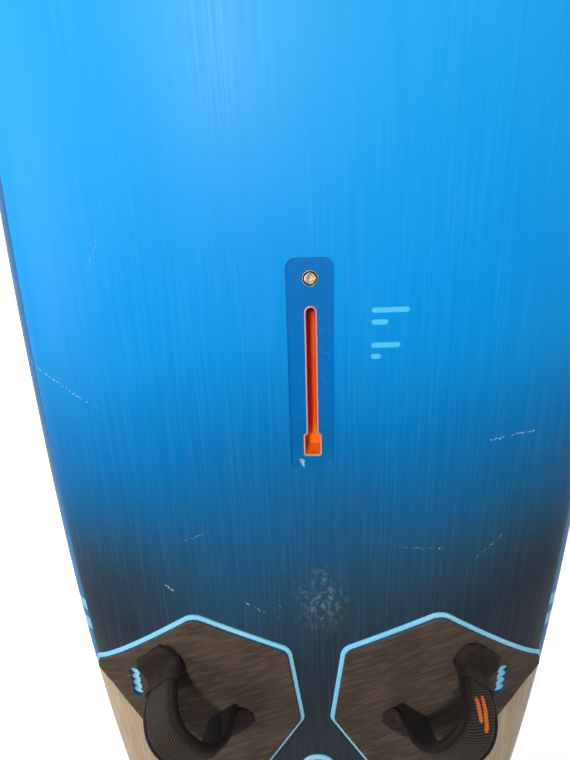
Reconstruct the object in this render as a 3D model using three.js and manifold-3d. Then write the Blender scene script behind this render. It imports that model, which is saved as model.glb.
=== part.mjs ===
// Windsurf board with pads, foot straps, mast track, vent and fin.
// Millimetres. +X towards the nose, +Y to port, +Z up.
// The origin is on the flat of the hull's bottom, under the middle of the mast track slot.
import * as THREE from 'three';
import { mergeVertices } from 'three/addons/utils/BufferGeometryUtils.js';
import Module from 'manifold-3d';

const wasm = await Module();
wasm.setup();

// ---------- driving dimensions ----------

const GAP = 0.3; // clearance between touching pieces

// hull outline and profile
const TAIL_X = -1335;
const NOSE_X = 1045;
const WIDE_X = -10; // widest station
const HALF_WIDTH = 345;
const HULL_THICKNESS = 125; // at the mast track
const TAIL_OUTLINE = 2.4; // superellipse exponent of the tail half
const NOSE_OUTLINE_SIDE = 2.4;
const NOSE_OUTLINE_TIP = 1.9;
const DECK_CROWN = 2.7; // superellipse exponent across the deck
const CHINE_ROUND = 2.2; // superellipse exponent of the lower rail
const BOTTOM_FLAT = 0.62; // flat share of the bottom's half width
const ROCKER_START = 60;
const ROCKER_LIFT = 195;
const ROCKER_POWER = 2.3;
const TAIL_STATIONS = 11;
const NOSE_STATIONS = 9;
const DECK_SEGMENTS = 14;
const CHINE_SEGMENTS = 3;
const SKIN = 4; // sandwich laminate thickness

// recessed deck panel around the mast track and the vent
const PANEL_AFT = -103;
const PANEL_FORE = 137;
const PANEL_HALF_WIDTH = 24.8;
const PANEL_RADIUS = 10;
const PANEL_Z = 123.4;

// mast track box, a T slot with a wide entry at its aft end
const SLOT_FORE = 87.8;
const SLOT_AFT = -87.7;
const SLOT_HALF_WIDTH = 5;
const RIM = 2; // width of the raised lip round the slot
const RIM_TOP = PANEL_Z + 0.8;
const ENTRY_LENGTH = 29;
const ENTRY_HALF_WIDTH = 10.5;
const TRACK_BODY_HALF_WIDTH = 18;
const TRACK_BODY_TOP = 119.2;
const TRACK_BODY_BOTTOM = 84;
const TEE_HALF_WIDTH = 11;
const TEE_TOP = 108;
const TEE_BOTTOM = 92;
const TRACK_END_WALL = 12;
const MAST_BLOCK = [-126, 142, -46, 46, 40, 119.2]; // x, y and z limits

// vent between the slot and the front of the panel
const VENT_X = 116.3;
const VENT_FLANGE_R = 8.4;
const VENT_HEAD_R = 6;

// fin box, fin and its through-deck bolt
const FIN_X = -1192;
const FIN_HEAD_LENGTH = 153;
const FIN_HEAD_WIDTH = 21;
const FIN_HEAD_HEIGHT = 45;
const FIN_BOX_WALL = 7;
const FIN_BOX_TOP = 50.5;
const FIN_BLOCK = [FIN_X - 91, FIN_X + 91, -32, 32, 6.4, 52]; // x, y and z limits
const BOSS_R = 13;
const FIN_DEPTH = 372;
const FIN_ROOT_CHORD = 122;
const FIN_TIP_CHORD = 30;
const FIN_RAKE = 70; // how far the tip's middle lies aft of the root's middle
const FIN_ROOT_THICKNESS = 12;
const BOLT_R = 3;
const BARREL_NUT_R = 5.5;
const BARREL_NUT_Z = 24;

// deck pads, two layers of EVA
const PAD_BASE_TOP = 3;
const PAD_TOP = 7.5;
const PAD_BORDER = 7; // width of the lower layer left showing

// each corner is [x, y, radius], listed for the port pad
const FRONT_PAD = [
  [-316.4, 163.7, 26], [-421, 317.6, 3], [-437, 320.5, 4], [-460, 296, 30], [-530, 253, 90],
  [-690, 214, 60], [-735, 150, 34], [-505, 18, 14], [-374.7, 34, 20],
];
const REAR_PAD = [
  [-560, 0, 26], [-765, 122, 60], [-900, 176, 90], [-1115, 128, 34], [-1150, 60, 26],
  [-1150, -60, 26], [-1115, -128, 34], [-900, -176, 90], [-765, -122, 60],
];

// strap inserts, each a bar with a row of holes
const HOLE_PITCH = 12.7;
const HOLE_COUNT = 4;
const HOLE_R = 2.8;
const INSERT_HALF_WIDTH = 8;
const INSERT_DEPTH = 28;
const INSERT_SINK = 1.2;

// straps: the anchors are where the screws go in, outer end first
const FRONT_ANCHORS = [[-404, 211], [-499, 126]];
const REAR_ANCHORS = [[-985, 78], [-985, -78]];
const SPARE_INSERT = [-446, 255];
const STRAP_TOP = 84; // height of the loop over the pad
const STRAP_HALF_WIDTH = 32;
const STRAP_LEG_RADIUS = 21;
const STRAP_AXIS = 33; // height of the lean axis over the pad
const STRAP_INSET = 8; // the loop's legs stand this far inside the screws
const STRAP_STEPS = 16;
const ARCH_POWER = 2.5;
const CAP_LENGTH = 44;
const CAP_WIDTH = 66;
const CAP_HEIGHT = 10.5;
const PLATE_SIZE = 32;
const PLATE_THICKNESS = 2;
const SCREW_R = 2.5;
const SCREW_LENGTH = 30;

// ---------- materials ----------

function finish(color, roughness, metalness = 0) {
  return new THREE.MeshStandardMaterial({ color, roughness, metalness });
}

const MATERIAL = {
  deck: finish('#0f86cf', 0.35),
  bottom: finish('#e9edf0', 0.3),
  foam: finish('#f2f2ee', 0.9),
  denseFoam: finish('#d9c58c', 0.85),
  orange: finish('#f4561a', 0.4),
  black: finish('#141416', 0.5),
  rubber: finish('#1a1a1a', 0.8),
  brass: finish('#c8a765', 0.35, 1),
  steel: finish('#b8bcc0', 0.3, 1),
  padTop: finish('#4b403b', 0.95),
  padBase: finish('#6ec3ea', 0.9),
  neoprene: finish('#1d1a1b', 0.9),
  webbing: finish('#16171a', 0.8),
  fin: finish('#1b1d20', 0.3),
};

// ---------- solids ----------

function toSolid(geometry) {
  const bare = geometry.clone();
  bare.deleteAttribute('normal');
  bare.deleteAttribute('uv');
  const merged = mergeVertices(bare, 1e-4);
  const vertProperties = new Float32Array(merged.attributes.position.array);
  const triVerts = new Uint32Array(merged.index.array);
  return new wasm.Manifold(new wasm.Mesh({ numProp: 3, vertProperties, triVerts }));
}

function toGeometry(solid) {
  const mesh = solid.getMesh();
  const geometry = new THREE.BufferGeometry();
  geometry.setAttribute('position', new THREE.BufferAttribute(new Float32Array(mesh.vertProperties), 3));
  geometry.setIndex(new THREE.BufferAttribute(new Uint32Array(mesh.triVerts), 1));
  geometry.computeVertexNormals();
  return geometry;
}

function signedVolume(positions, index) {
  const [a, b, c] = [new THREE.Vector3(), new THREE.Vector3(), new THREE.Vector3()];
  let volume = 0;
  for (let i = 0; i < index.length; i += 3) {
    a.fromArray(positions, index[i] * 3);
    b.fromArray(positions, index[i + 1] * 3);
    c.fromArray(positions, index[i + 2] * 3);
    volume += a.dot(b.cross(c));
  }
  return volume;
}

// Closed skin through rings with equal point counts; each end is closed by a fan to a tip point.
function loft(rings, startTip, endTip) {
  const count = rings[0].length;
  const positions = rings.flat().flatMap((p) => p.toArray());
  const startIndex = rings.length * count;
  positions.push(...startTip.toArray(), ...endTip.toArray());
  const index = [];
  for (let i = 0; i < rings.length - 1; i += 1) {
    for (let j = 0; j < count; j += 1) {
      const a = i * count + j;
      const b = i * count + ((j + 1) % count);
      index.push(a, b, b + count, a, b + count, a + count);
    }
  }
  const last = (rings.length - 1) * count;
  for (let j = 0; j < count; j += 1) {
    const next = (j + 1) % count;
    index.push(startIndex, next, j);
    index.push(startIndex + 1, last + j, last + next);
  }
  if (signedVolume(positions, index) < 0) index.reverse();
  const geometry = new THREE.BufferGeometry();
  geometry.setAttribute('position', new THREE.BufferAttribute(new Float32Array(positions), 3));
  geometry.setIndex(index);
  return geometry;
}

function centreOf(ring) {
  const sum = ring.reduce((total, p) => total.add(p), new THREE.Vector3());
  return sum.divideScalar(ring.length);
}

function loftSolid(rings) {
  return toSolid(loft(rings, centreOf(rings[0]), centreOf(rings.at(-1))));
}

function boxSolid(x0, x1, y0, y1, z0, z1) {
  const geometry = new THREE.BoxGeometry(x1 - x0, y1 - y0, z1 - z0);
  geometry.translate((x0 + x1) / 2, (y0 + y1) / 2, (z0 + z1) / 2);
  return toSolid(geometry);
}

function cylinderSolid(radius, z0, z1, x = 0, y = 0, sides = 12) {
  const geometry = new THREE.CylinderGeometry(radius, radius, z1 - z0, sides);
  geometry.rotateX(Math.PI / 2);
  geometry.translate(x, y, (z0 + z1) / 2);
  return toSolid(geometry);
}

function latheSolid(profile, sides, x, y) {
  const points = profile.map(([r, z]) => new THREE.Vector2(r, z));
  const geometry = new THREE.LatheGeometry(points, sides);
  geometry.rotateX(Math.PI / 2);
  geometry.translate(x, y, 0);
  return toSolid(geometry);
}

function prismSolid(shape, z0, z1, curveSegments = 2) {
  const geometry = new THREE.ExtrudeGeometry(shape, { depth: z1 - z0, bevelEnabled: false, curveSegments });
  geometry.translate(0, 0, z0);
  return toSolid(geometry);
}

function joined(solids) {
  return solids.reduce((all, solid) => all.add(solid));
}

// Bar with round ends along X.
function barShape(x0, x1, halfWidth, y = 0) {
  const shape = new THREE.Shape();
  shape.moveTo(x0 + halfWidth, y - halfWidth);
  shape.lineTo(x1 - halfWidth, y - halfWidth);
  shape.absarc(x1 - halfWidth, y, halfWidth, -Math.PI / 2, Math.PI / 2);
  shape.lineTo(x0 + halfWidth, y + halfWidth);
  shape.absarc(x0 + halfWidth, y, halfWidth, Math.PI / 2, Math.PI * 1.5);
  return shape;
}

function roundedBoxShape(x0, x1, y0, y1, radius) {
  return roundedShape([[x0, y0, radius], [x1, y0, radius], [x1, y1, radius], [x0, y1, radius]]);
}

// Polygon with a fillet at each [x, y, radius] corner.
function roundedShape(corners) {
  const shape = new THREE.Shape();
  corners.forEach(([x, y, radius], i) => {
    const corner = new THREE.Vector2(x, y);
    const before = new THREE.Vector2(...corners.at(i - 1).slice(0, 2));
    const after = new THREE.Vector2(...corners[(i + 1) % corners.length].slice(0, 2));
    const toBefore = before.sub(corner).normalize();
    const toAfter = after.sub(corner).normalize();
    const halfAngle = Math.acos(THREE.MathUtils.clamp(toBefore.dot(toAfter), -1, 1)) / 2;
    const reach = radius / Math.tan(halfAngle);
    const start = corner.clone().addScaledVector(toBefore, reach);
    const end = corner.clone().addScaledVector(toAfter, reach);
    if (i === 0) shape.moveTo(start.x, start.y);
    else shape.lineTo(start.x, start.y);
    shape.quadraticCurveTo(x, y, end.x, end.y);
  });
  shape.closePath();
  return shape;
}

// The same polygon with every side moved inwards.
function insetCorners(corners, inset) {
  const ring = corners.map(([x, y]) => new THREE.Vector2(x, y));
  const turn = Math.sign(THREE.ShapeUtils.area(ring));
  return corners.map(([x, y, radius], i) => {
    const before = ring.at(i - 1);
    const here = ring[i];
    const after = ring[(i + 1) % ring.length];
    const sideA = here.clone().sub(before).normalize();
    const sideB = after.clone().sub(here).normalize();
    const inwardA = new THREE.Vector2(-sideA.y, sideA.x).multiplyScalar(turn);
    const inwardB = new THREE.Vector2(-sideB.y, sideB.x).multiplyScalar(turn);
    const bisector = inwardA.clone().add(inwardB).normalize();
    const reach = inset / bisector.dot(inwardA);
    return [x + bisector.x * reach, y + bisector.y * reach, Math.max(radius - inset * 0.6, 2)];
  });
}

function mirrored(corners) {
  return corners.map(([x, y, radius]) => [x, -y, radius]).reverse();
}

// ---------- hull surface ----------

function outlineShare(x) {
  return x < WIDE_X ? (WIDE_X - x) / (WIDE_X - TAIL_X) : (x - WIDE_X) / (NOSE_X - WIDE_X);
}

function halfWidth(x) {
  const u = Math.min(outlineShare(x), 1);
  if (x < WIDE_X) return HALF_WIDTH * (1 - u ** TAIL_OUTLINE) ** (1 / TAIL_OUTLINE);
  return HALF_WIDTH * (1 - u ** NOSE_OUTLINE_SIDE) ** (1 / NOSE_OUTLINE_TIP);
}

function rockerHeight(x) {
  if (x <= ROCKER_START) return 0;
  return ROCKER_LIFT * ((x - ROCKER_START) / (NOSE_X - ROCKER_START)) ** ROCKER_POWER;
}

function thickness(x) {
  if (x < 0) return HULL_THICKNESS * (1 - 0.5 * (x / TAIL_X) ** 2.2);
  return HULL_THICKNESS * (1 - 0.45 * (x / NOSE_X) ** 2);
}

// Share of the thickness that lies under the widest line of the rail.
function railShare(x) {
  if (x < 0) return THREE.MathUtils.lerp(0.42, 0.34, x / TAIL_X);
  return THREE.MathUtils.lerp(0.42, 0.5, x / NOSE_X);
}

// Falls from 1 to 0 at the ends, so that the tail and nose close in a round edge.
function endFill(x) {
  const power = x < WIDE_X ? 60 : 14;
  return Math.sqrt(Math.max(1 - Math.min(outlineShare(x), 1) ** power, 0));
}

function railHeight(x) {
  return rockerHeight(x) + railShare(x) * thickness(x);
}

function deckHeight(x, y) {
  const crown = (1 - (Math.abs(y) / halfWidth(x)) ** DECK_CROWN) ** (1 / DECK_CROWN);
  return railHeight(x) + (1 - railShare(x)) * thickness(x) * endFill(x) * crown;
}

function deckNormal(x, y) {
  const step = 0.5;
  const dx = (deckHeight(x + step, y) - deckHeight(x - step, y)) / (2 * step);
  const dy = (deckHeight(x, y + step) - deckHeight(x, y - step)) / (2 * step);
  return new THREE.Vector3(-dx, -dy, 1).normalize();
}

function hullSection(x, inset) {
  const apex = railHeight(x);
  const half = halfWidth(x) - inset;
  const rise = (1 - railShare(x)) * thickness(x) * endFill(x) - inset;
  const drop = railShare(x) * thickness(x) * endFill(x) - inset;
  const ring = [];
  for (let i = 0; i <= DECK_SEGMENTS; i += 1) {
    const angle = (Math.PI * i) / DECK_SEGMENTS;
    const across = Math.cos(angle);
    const y = half * Math.sign(across) * Math.abs(across) ** (2 / DECK_CROWN);
    ring.push([y, apex + rise * Math.abs(Math.sin(angle)) ** (2 / DECK_CROWN)]);
  }
  const chine = [];
  for (let i = 1; i <= CHINE_SEGMENTS; i += 1) {
    const angle = (Math.PI / 2) * (i / CHINE_SEGMENTS);
    const y = half * (BOTTOM_FLAT + (1 - BOTTOM_FLAT) * Math.cos(angle) ** (2 / CHINE_ROUND));
    chine.push([y, apex - drop * Math.sin(angle) ** (2 / CHINE_ROUND)]);
  }
  ring.push(...chine.map(([y, z]) => [-y, z]));
  ring.push(...chine.reverse());
  return ring;
}

function hullStations() {
  const stations = [];
  for (let i = TAIL_STATIONS - 1; i > 0; i -= 1) {
    stations.push(WIDE_X + (TAIL_X - WIDE_X) * Math.sin((Math.PI / 2) * (i / TAIL_STATIONS)));
  }
  stations.push(WIDE_X, ROCKER_START);
  for (let i = 1; i < NOSE_STATIONS; i += 1) {
    stations.push(WIDE_X + (NOSE_X - WIDE_X) * Math.sin((Math.PI / 2) * (i / NOSE_STATIONS)));
  }
  return stations;
}

function hullSolid(inset = 0) {
  const rings = hullStations().map((x) => {
    const reach = x < WIDE_X ? WIDE_X - TAIL_X : NOSE_X - WIDE_X;
    const shifted = WIDE_X + (x - WIDE_X) * (1 - inset / reach);
    return hullSection(x, inset).map(([y, z]) => new THREE.Vector3(shifted, y, z));
  });
  const tail = new THREE.Vector3(TAIL_X + inset, 0, railHeight(TAIL_X));
  const nose = new THREE.Vector3(NOSE_X - inset, 0, railHeight(NOSE_X));
  return toSolid(loft(rings, tail, nose));
}

// Everything on one side of the rail's widest line, from that line to a far plane.
function railSide(offset, farZ) {
  const reach = 500;
  const stations = [TAIL_X - 50, ...hullStations(), NOSE_X + 50];
  const rings = stations.map((x) => {
    const z = railHeight(THREE.MathUtils.clamp(x, TAIL_X, NOSE_X)) + offset;
    const corners = [[-reach, z], [reach, z], [reach, farZ], [-reach, farZ]];
    return corners.map(([y, height]) => new THREE.Vector3(x, y, height));
  });
  return loftSolid(rings);
}

// ---------- model tree ----------

const board = new THREE.Group();
board.name = 'windsurf_board';

function addNode(parent, name, solid, material) {
  const mesh = new THREE.Mesh(toGeometry(solid), material);
  mesh.name = name;
  parent.add(mesh);
  return mesh;
}

// ---------- mast track and vent ----------

function panelRecess() {
  const shape = roundedBoxShape(PANEL_AFT, PANEL_FORE, -PANEL_HALF_WIDTH, PANEL_HALF_WIDTH, PANEL_RADIUS);
  return prismSolid(shape, PANEL_Z, PANEL_Z + 10);
}

function trackNeck(margin, z0, z1) {
  const slot = barShape(SLOT_AFT + 4 - margin, SLOT_FORE + margin, SLOT_HALF_WIDTH + RIM + margin);
  const entry = roundedBoxShape(
    SLOT_AFT - margin,
    SLOT_AFT + ENTRY_LENGTH + margin,
    -ENTRY_HALF_WIDTH - margin,
    ENTRY_HALF_WIDTH + margin,
    4 + margin,
  );
  return prismSolid(slot, z0, z1).add(prismSolid(entry, z0, z1));
}

function mastTrackBox() {
  const bodyShape = roundedBoxShape(
    SLOT_AFT - TRACK_END_WALL,
    SLOT_FORE + TRACK_END_WALL,
    -TRACK_BODY_HALF_WIDTH,
    TRACK_BODY_HALF_WIDTH,
    6,
  );
  const body = prismSolid(bodyShape, TRACK_BODY_BOTTOM, TRACK_BODY_TOP);
  const tee = boxSolid(SLOT_AFT + RIM, SLOT_FORE - RIM, -TEE_HALF_WIDTH, TEE_HALF_WIDTH, TEE_BOTTOM, TEE_TOP);
  const slot = trackNeck(-RIM, TEE_TOP - 1, RIM_TOP + 1);
  return body.add(trackNeck(0, TRACK_BODY_TOP - 1, RIM_TOP)).subtract(tee).subtract(slot);
}

function mastBlock() {
  const above = MAST_BLOCK[5] + 1;
  const pocket = boxSolid(
    SLOT_AFT - TRACK_END_WALL - GAP,
    SLOT_FORE + TRACK_END_WALL + GAP,
    -TRACK_BODY_HALF_WIDTH - GAP,
    TRACK_BODY_HALF_WIDTH + GAP,
    TRACK_BODY_BOTTOM - GAP,
    above,
  );
  const ventHole = cylinderSolid(VENT_FLANGE_R + GAP, 98, above, VENT_X, 0, 14);
  return boxSolid(...MAST_BLOCK).subtract(pocket).subtract(ventHole);
}

const VENT_SIDES = 16;
const VENT_SEAT_Z = 119.6;

function ventHousing() {
  const profile = [
    [3.3, 99], [VENT_FLANGE_R - 1.4, 99], [VENT_FLANGE_R - 1.4, 118], [VENT_FLANGE_R, 118],
    [VENT_FLANGE_R, PANEL_Z + 0.1], [VENT_FLANGE_R - 0.5, PANEL_Z + 0.5], [VENT_HEAD_R + 0.4, PANEL_Z + 0.5],
    [VENT_HEAD_R + 0.4, VENT_SEAT_Z], [3.3, VENT_SEAT_Z], [3.3, 99],
  ];
  return latheSolid(profile, VENT_SIDES, VENT_X, 0);
}

function ventScrew() {
  const headZ = VENT_SEAT_Z + 1.7;
  const profile = [
    [0, 103], [2.4, 103], [3, 104], [3, headZ], [VENT_HEAD_R, headZ], [VENT_HEAD_R, headZ + 2.2],
    [VENT_HEAD_R - 0.6, headZ + 2.8], [0, headZ + 2.8],
  ];
  const socket = cylinderSolid(2.3, headZ + 0.6, headZ + 4, VENT_X, 0, 6);
  return latheSolid(profile, VENT_SIDES, VENT_X, 0).subtract(socket);
}

function ventSeal() {
  const ring = new THREE.TorusGeometry(4.5, 0.65, 5, VENT_SIDES);
  ring.translate(VENT_X, 0, VENT_SEAT_Z + 0.95);
  return toSolid(ring);
}

// ---------- fin ----------

function finBoxOuter(margin, z0, z1) {
  const half = FIN_HEAD_LENGTH / 2 + FIN_BOX_WALL + margin;
  const side = FIN_HEAD_WIDTH / 2 + FIN_BOX_WALL + margin;
  return prismSolid(roundedBoxShape(FIN_X - half, FIN_X + half, -side, side, 8), z0, z1);
}

function finBoss(margin, z0, z1) {
  return cylinderSolid(BOSS_R + margin, z0, z1, FIN_X, 0, 16);
}

const BOSS_TOP = deckHeight(FIN_X, 0) - 0.8;
const WASHER_Z = BOSS_TOP - 5.6;

function finBox() {
  const half = FIN_HEAD_LENGTH / 2 + GAP;
  const side = FIN_HEAD_WIDTH / 2 + GAP;
  const pocket = prismSolid(roundedBoxShape(FIN_X - half, FIN_X + half, -side, side, 5), -5, FIN_HEAD_HEIGHT + GAP);
  return finBoxOuter(0, 0.4, FIN_BOX_TOP)
    .add(finBoss(0, FIN_BOX_TOP - 1, BOSS_TOP))
    .subtract(pocket)
    .subtract(cylinderSolid(BOLT_R + 0.6, 40, BOSS_TOP + 5, FIN_X, 0, 10))
    .subtract(cylinderSolid(10, WASHER_Z - GAP, BOSS_TOP + 5, FIN_X, 0, 14));
}

function finBlock() {
  return boxSolid(...FIN_BLOCK)
    .subtract(finBoxOuter(GAP, 0, FIN_BOX_TOP + GAP))
    .subtract(finBoss(GAP, FIN_BOX_TOP, 90));
}

// Symmetric aerofoil section with its leading edge forward.
function foilSection(depth) {
  const share = Math.max(depth, 0) / FIN_DEPTH;
  const chord = THREE.MathUtils.lerp(FIN_ROOT_CHORD, FIN_TIP_CHORD, share ** 1.5);
  const middle = FIN_X - 6 - FIN_RAKE * share ** 1.7;
  const half = (FIN_ROOT_THICKNESS / 2) * (1 - 0.72 * share) * Math.sqrt(Math.max(1 - share ** 12, 0.2));
  const steps = 7;
  const ring = [];
  for (let i = 0; i <= steps; i += 1) {
    const along = (1 - Math.cos((Math.PI * i) / steps)) / 2;
    const bulge = 2.6 * Math.sqrt(along) * (1 - along) + 0.12 * (1 - along) * along;
    ring.push([middle + chord * (0.5 - along), Math.max(half * bulge, i === 0 ? 0 : 0.35)]);
  }
  const port = ring.map(([x, y]) => new THREE.Vector3(x, y, -depth));
  const starboard = ring.slice(1).reverse().map(([x, y]) => new THREE.Vector3(x, -y, -depth));
  return [...port, ...starboard];
}

function fin() {
  const depths = [-2, 60, 130, 205, 280, 335, 362, FIN_DEPTH];
  const blade = loftSolid(depths.map(foilSection));
  const half = FIN_HEAD_LENGTH / 2;
  const side = FIN_HEAD_WIDTH / 2;
  const head = prismSolid(roundedBoxShape(FIN_X - half, FIN_X + half, -side, side, 4.8), 0.2, FIN_HEAD_HEIGHT);
  const nutHole = new THREE.CylinderGeometry(BARREL_NUT_R + GAP, BARREL_NUT_R + GAP, 60, 12);
  nutHole.translate(FIN_X, 0, BARREL_NUT_Z);
  return head
    .add(blade)
    .subtract(toSolid(nutHole))
    .subtract(cylinderSolid(BOLT_R + 0.6, BARREL_NUT_Z - 14, 60, FIN_X, 0, 10));
}

function finBarrelNut() {
  const nut = new THREE.CylinderGeometry(BARREL_NUT_R, BARREL_NUT_R, FIN_HEAD_WIDTH - 2, 12);
  nut.translate(FIN_X, 0, BARREL_NUT_Z);
  return toSolid(nut).subtract(cylinderSolid(BOLT_R + GAP, 0, 60, FIN_X, 0, 10));
}

function finWasher() {
  return cylinderSolid(9, WASHER_Z, WASHER_Z + 1.5, FIN_X, 0, 14)
    .subtract(cylinderSolid(BOLT_R + GAP, WASHER_Z - 1, WASHER_Z + 3, FIN_X, 0, 10));
}

function finBolt() {
  const headZ = WASHER_Z + 1.5 + GAP;
  return cylinderSolid(BOLT_R, BARREL_NUT_Z - 9, headZ + 0.5, FIN_X, 0, 10)
    .add(cylinderSolid(5.4, headZ, headZ + 3.2, FIN_X, 0, 12))
    .subtract(cylinderSolid(2.3, headZ + 1.2, headZ + 5, FIN_X, 0, 6));
}

// ---------- strap frames ----------

// Point over the deck on the normal through (x, y), on the deck moved straight up by lift.
function deckPoint(x, y, lift) {
  const normal = deckNormal(x, y);
  return new THREE.Vector3(x, y, deckHeight(x, y)).addScaledVector(normal, lift * normal.z);
}

// Frame whose X runs towards target over the surface and whose Z is the surface's normal.
function surfaceFrame(origin, target, normal) {
  const xAxis = target.clone().sub(origin);
  xAxis.addScaledVector(normal, -xAxis.dot(normal)).normalize();
  const yAxis = normal.clone().cross(xAxis);
  return new THREE.Matrix4().makeBasis(xAxis, yAxis, normal).setPosition(origin);
}

function placedGroup(matrix) {
  const group = new THREE.Group();
  matrix.decompose(group.position, group.quaternion, group.scale);
  board.add(group);
  return group;
}

function inWorld(solid, matrix) {
  return solid.transform(matrix.toArray());
}

const inserts = [];
const padHoles = [];
const padWindows = [];

// Bar of four holes let into the deck; holes run along the board.
function addInsert(name, x, y) {
  const flat = deckPoint(x, y, -INSERT_SINK);
  const frame = surfaceFrame(flat, deckPoint(x + 100, y, -INSERT_SINK), deckNormal(x, y));
  const half = (HOLE_PITCH * (HOLE_COUNT - 1)) / 2 + INSERT_HALF_WIDTH;
  let bar = prismSolid(barShape(-half, half, INSERT_HALF_WIDTH), -INSERT_DEPTH, 0);
  for (let i = 0; i < HOLE_COUNT; i += 1) {
    const along = (i - (HOLE_COUNT - 1) / 2) * HOLE_PITCH;
    bar = bar.subtract(cylinderSolid(HOLE_R, -INSERT_DEPTH + 4, 2, along, 0, 8));
  }
  addNode(placedGroup(frame), name, bar, MATERIAL.black);
  const room = barShape(-half - GAP, half + GAP, INSERT_HALF_WIDTH + GAP);
  inserts.push(inWorld(prismSolid(room, -INSERT_DEPTH - GAP, 12), frame));
  return frame;
}

// The spare insert shows through a scalloped window in the upper pad layer.
function addSpareWindow(frame) {
  for (let i = 0; i < HOLE_COUNT; i += 1) {
    const along = (i - (HOLE_COUNT - 1) / 2) * HOLE_PITCH;
    padWindows.push(inWorld(cylinderSolid(8, -2, 30, along, 0, 10), frame));
    padHoles.push(inWorld(cylinderSolid(HOLE_R + 0.4, -2, 30, along, 0, 8), frame));
  }
}

// ---------- straps ----------

// Half width of the loop at a height over the pad: round ends about the lean axis.
function loopHalfWidth(z) {
  if (z < STRAP_AXIS) return Math.sqrt(STRAP_LEG_RADIUS ** 2 - (STRAP_AXIS - z) ** 2);
  const share = THREE.MathUtils.smoothstep(z, STRAP_AXIS, STRAP_AXIS + 26);
  return THREE.MathUtils.lerp(STRAP_LEG_RADIUS, STRAP_HALF_WIDTH, share);
}

// One layer of the loop, from inner to outer offset along the arch's normal.
function loopLayer(halfSpan, inner, outer, widthScale) {
  const lowest = STRAP_AXIS - STRAP_LEG_RADIUS + 0.8;
  const startAngle = Math.asin((lowest / STRAP_TOP) ** (ARCH_POWER / 2));
  const rings = [];
  for (let i = 0; i <= STRAP_STEPS; i += 1) {
    const angle = THREE.MathUtils.lerp(startAngle, Math.PI - startAngle, i / STRAP_STEPS);
    const across = Math.cos(angle);
    const x = -halfSpan * Math.sign(across) * Math.abs(across) ** (2 / ARCH_POWER);
    const z = STRAP_TOP * Math.sin(angle) ** (2 / ARCH_POWER);
    const normal = new THREE.Vector2(
      Math.sign(x) * (Math.abs(x) / halfSpan) ** (ARCH_POWER - 1) / halfSpan,
      (z / STRAP_TOP) ** (ARCH_POWER - 1) / STRAP_TOP,
    ).normalize();
    const half = loopHalfWidth(z) * widthScale;
    const edge = half - Math.min(2.5, half / 3);
    const middle = (inner + outer) / 2;
    const section = [[inner, -edge], [inner, edge], [middle, half], [outer, edge], [outer, -edge], [middle, -half]];
    rings.push(section.map(([offset, y]) => new THREE.Vector3(x + normal.x * offset, y, z + normal.y * offset)));
  }
  return loftSolid(rings);
}

function roundedRing(length, width, z, radius) {
  const shape = roundedBoxShape(-length / 2, length / 2, -width / 2, width / 2, radius);
  const points = shape.getPoints(2).slice(0, -1);
  return points.map((p) => new THREE.Vector3(p.x, p.y, z));
}

function strapCap() {
  const outside = loftSolid([
    roundedRing(CAP_LENGTH, CAP_WIDTH, GAP, 9),
    roundedRing(CAP_LENGTH, CAP_WIDTH, CAP_HEIGHT * 0.55, 9),
    roundedRing(CAP_LENGTH - 10, CAP_WIDTH - 10, CAP_HEIGHT, 7),
  ]);
  const inside = loftSolid([
    roundedRing(PLATE_SIZE + 1, PLATE_SIZE + 1, -2, 4),
    roundedRing(PLATE_SIZE + 1, PLATE_SIZE + 1, CAP_HEIGHT - 4.4, 4),
    roundedRing(17, 17, CAP_HEIGHT - 2.2, 4),
  ]);
  return outside.subtract(inside);
}

function strapPlate() {
  const plate = loftSolid([
    roundedRing(PLATE_SIZE, PLATE_SIZE, GAP, 4),
    roundedRing(PLATE_SIZE, PLATE_SIZE, GAP + PLATE_THICKNESS, 4),
  ]);
  return plate.subtract(cylinderSolid(SCREW_R + GAP, -2, 6, 0, 0, 8));
}

function strapScrew() {
  const seat = PLATE_THICKNESS + 2 * GAP;
  const profile = [
    [0, seat - SCREW_LENGTH], [1.2, seat - SCREW_LENGTH + 1], [SCREW_R, seat - SCREW_LENGTH + 5],
    [SCREW_R, seat], [5.6, seat], [5.2, seat + 1.8], [3, seat + 2.8], [0, seat + 2.8],
  ];
  return latheSolid(profile, 8, 0, 0).subtract(cylinderSolid(1.5, seat + 1.2, seat + 6, 0, 0, 6));
}

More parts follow.
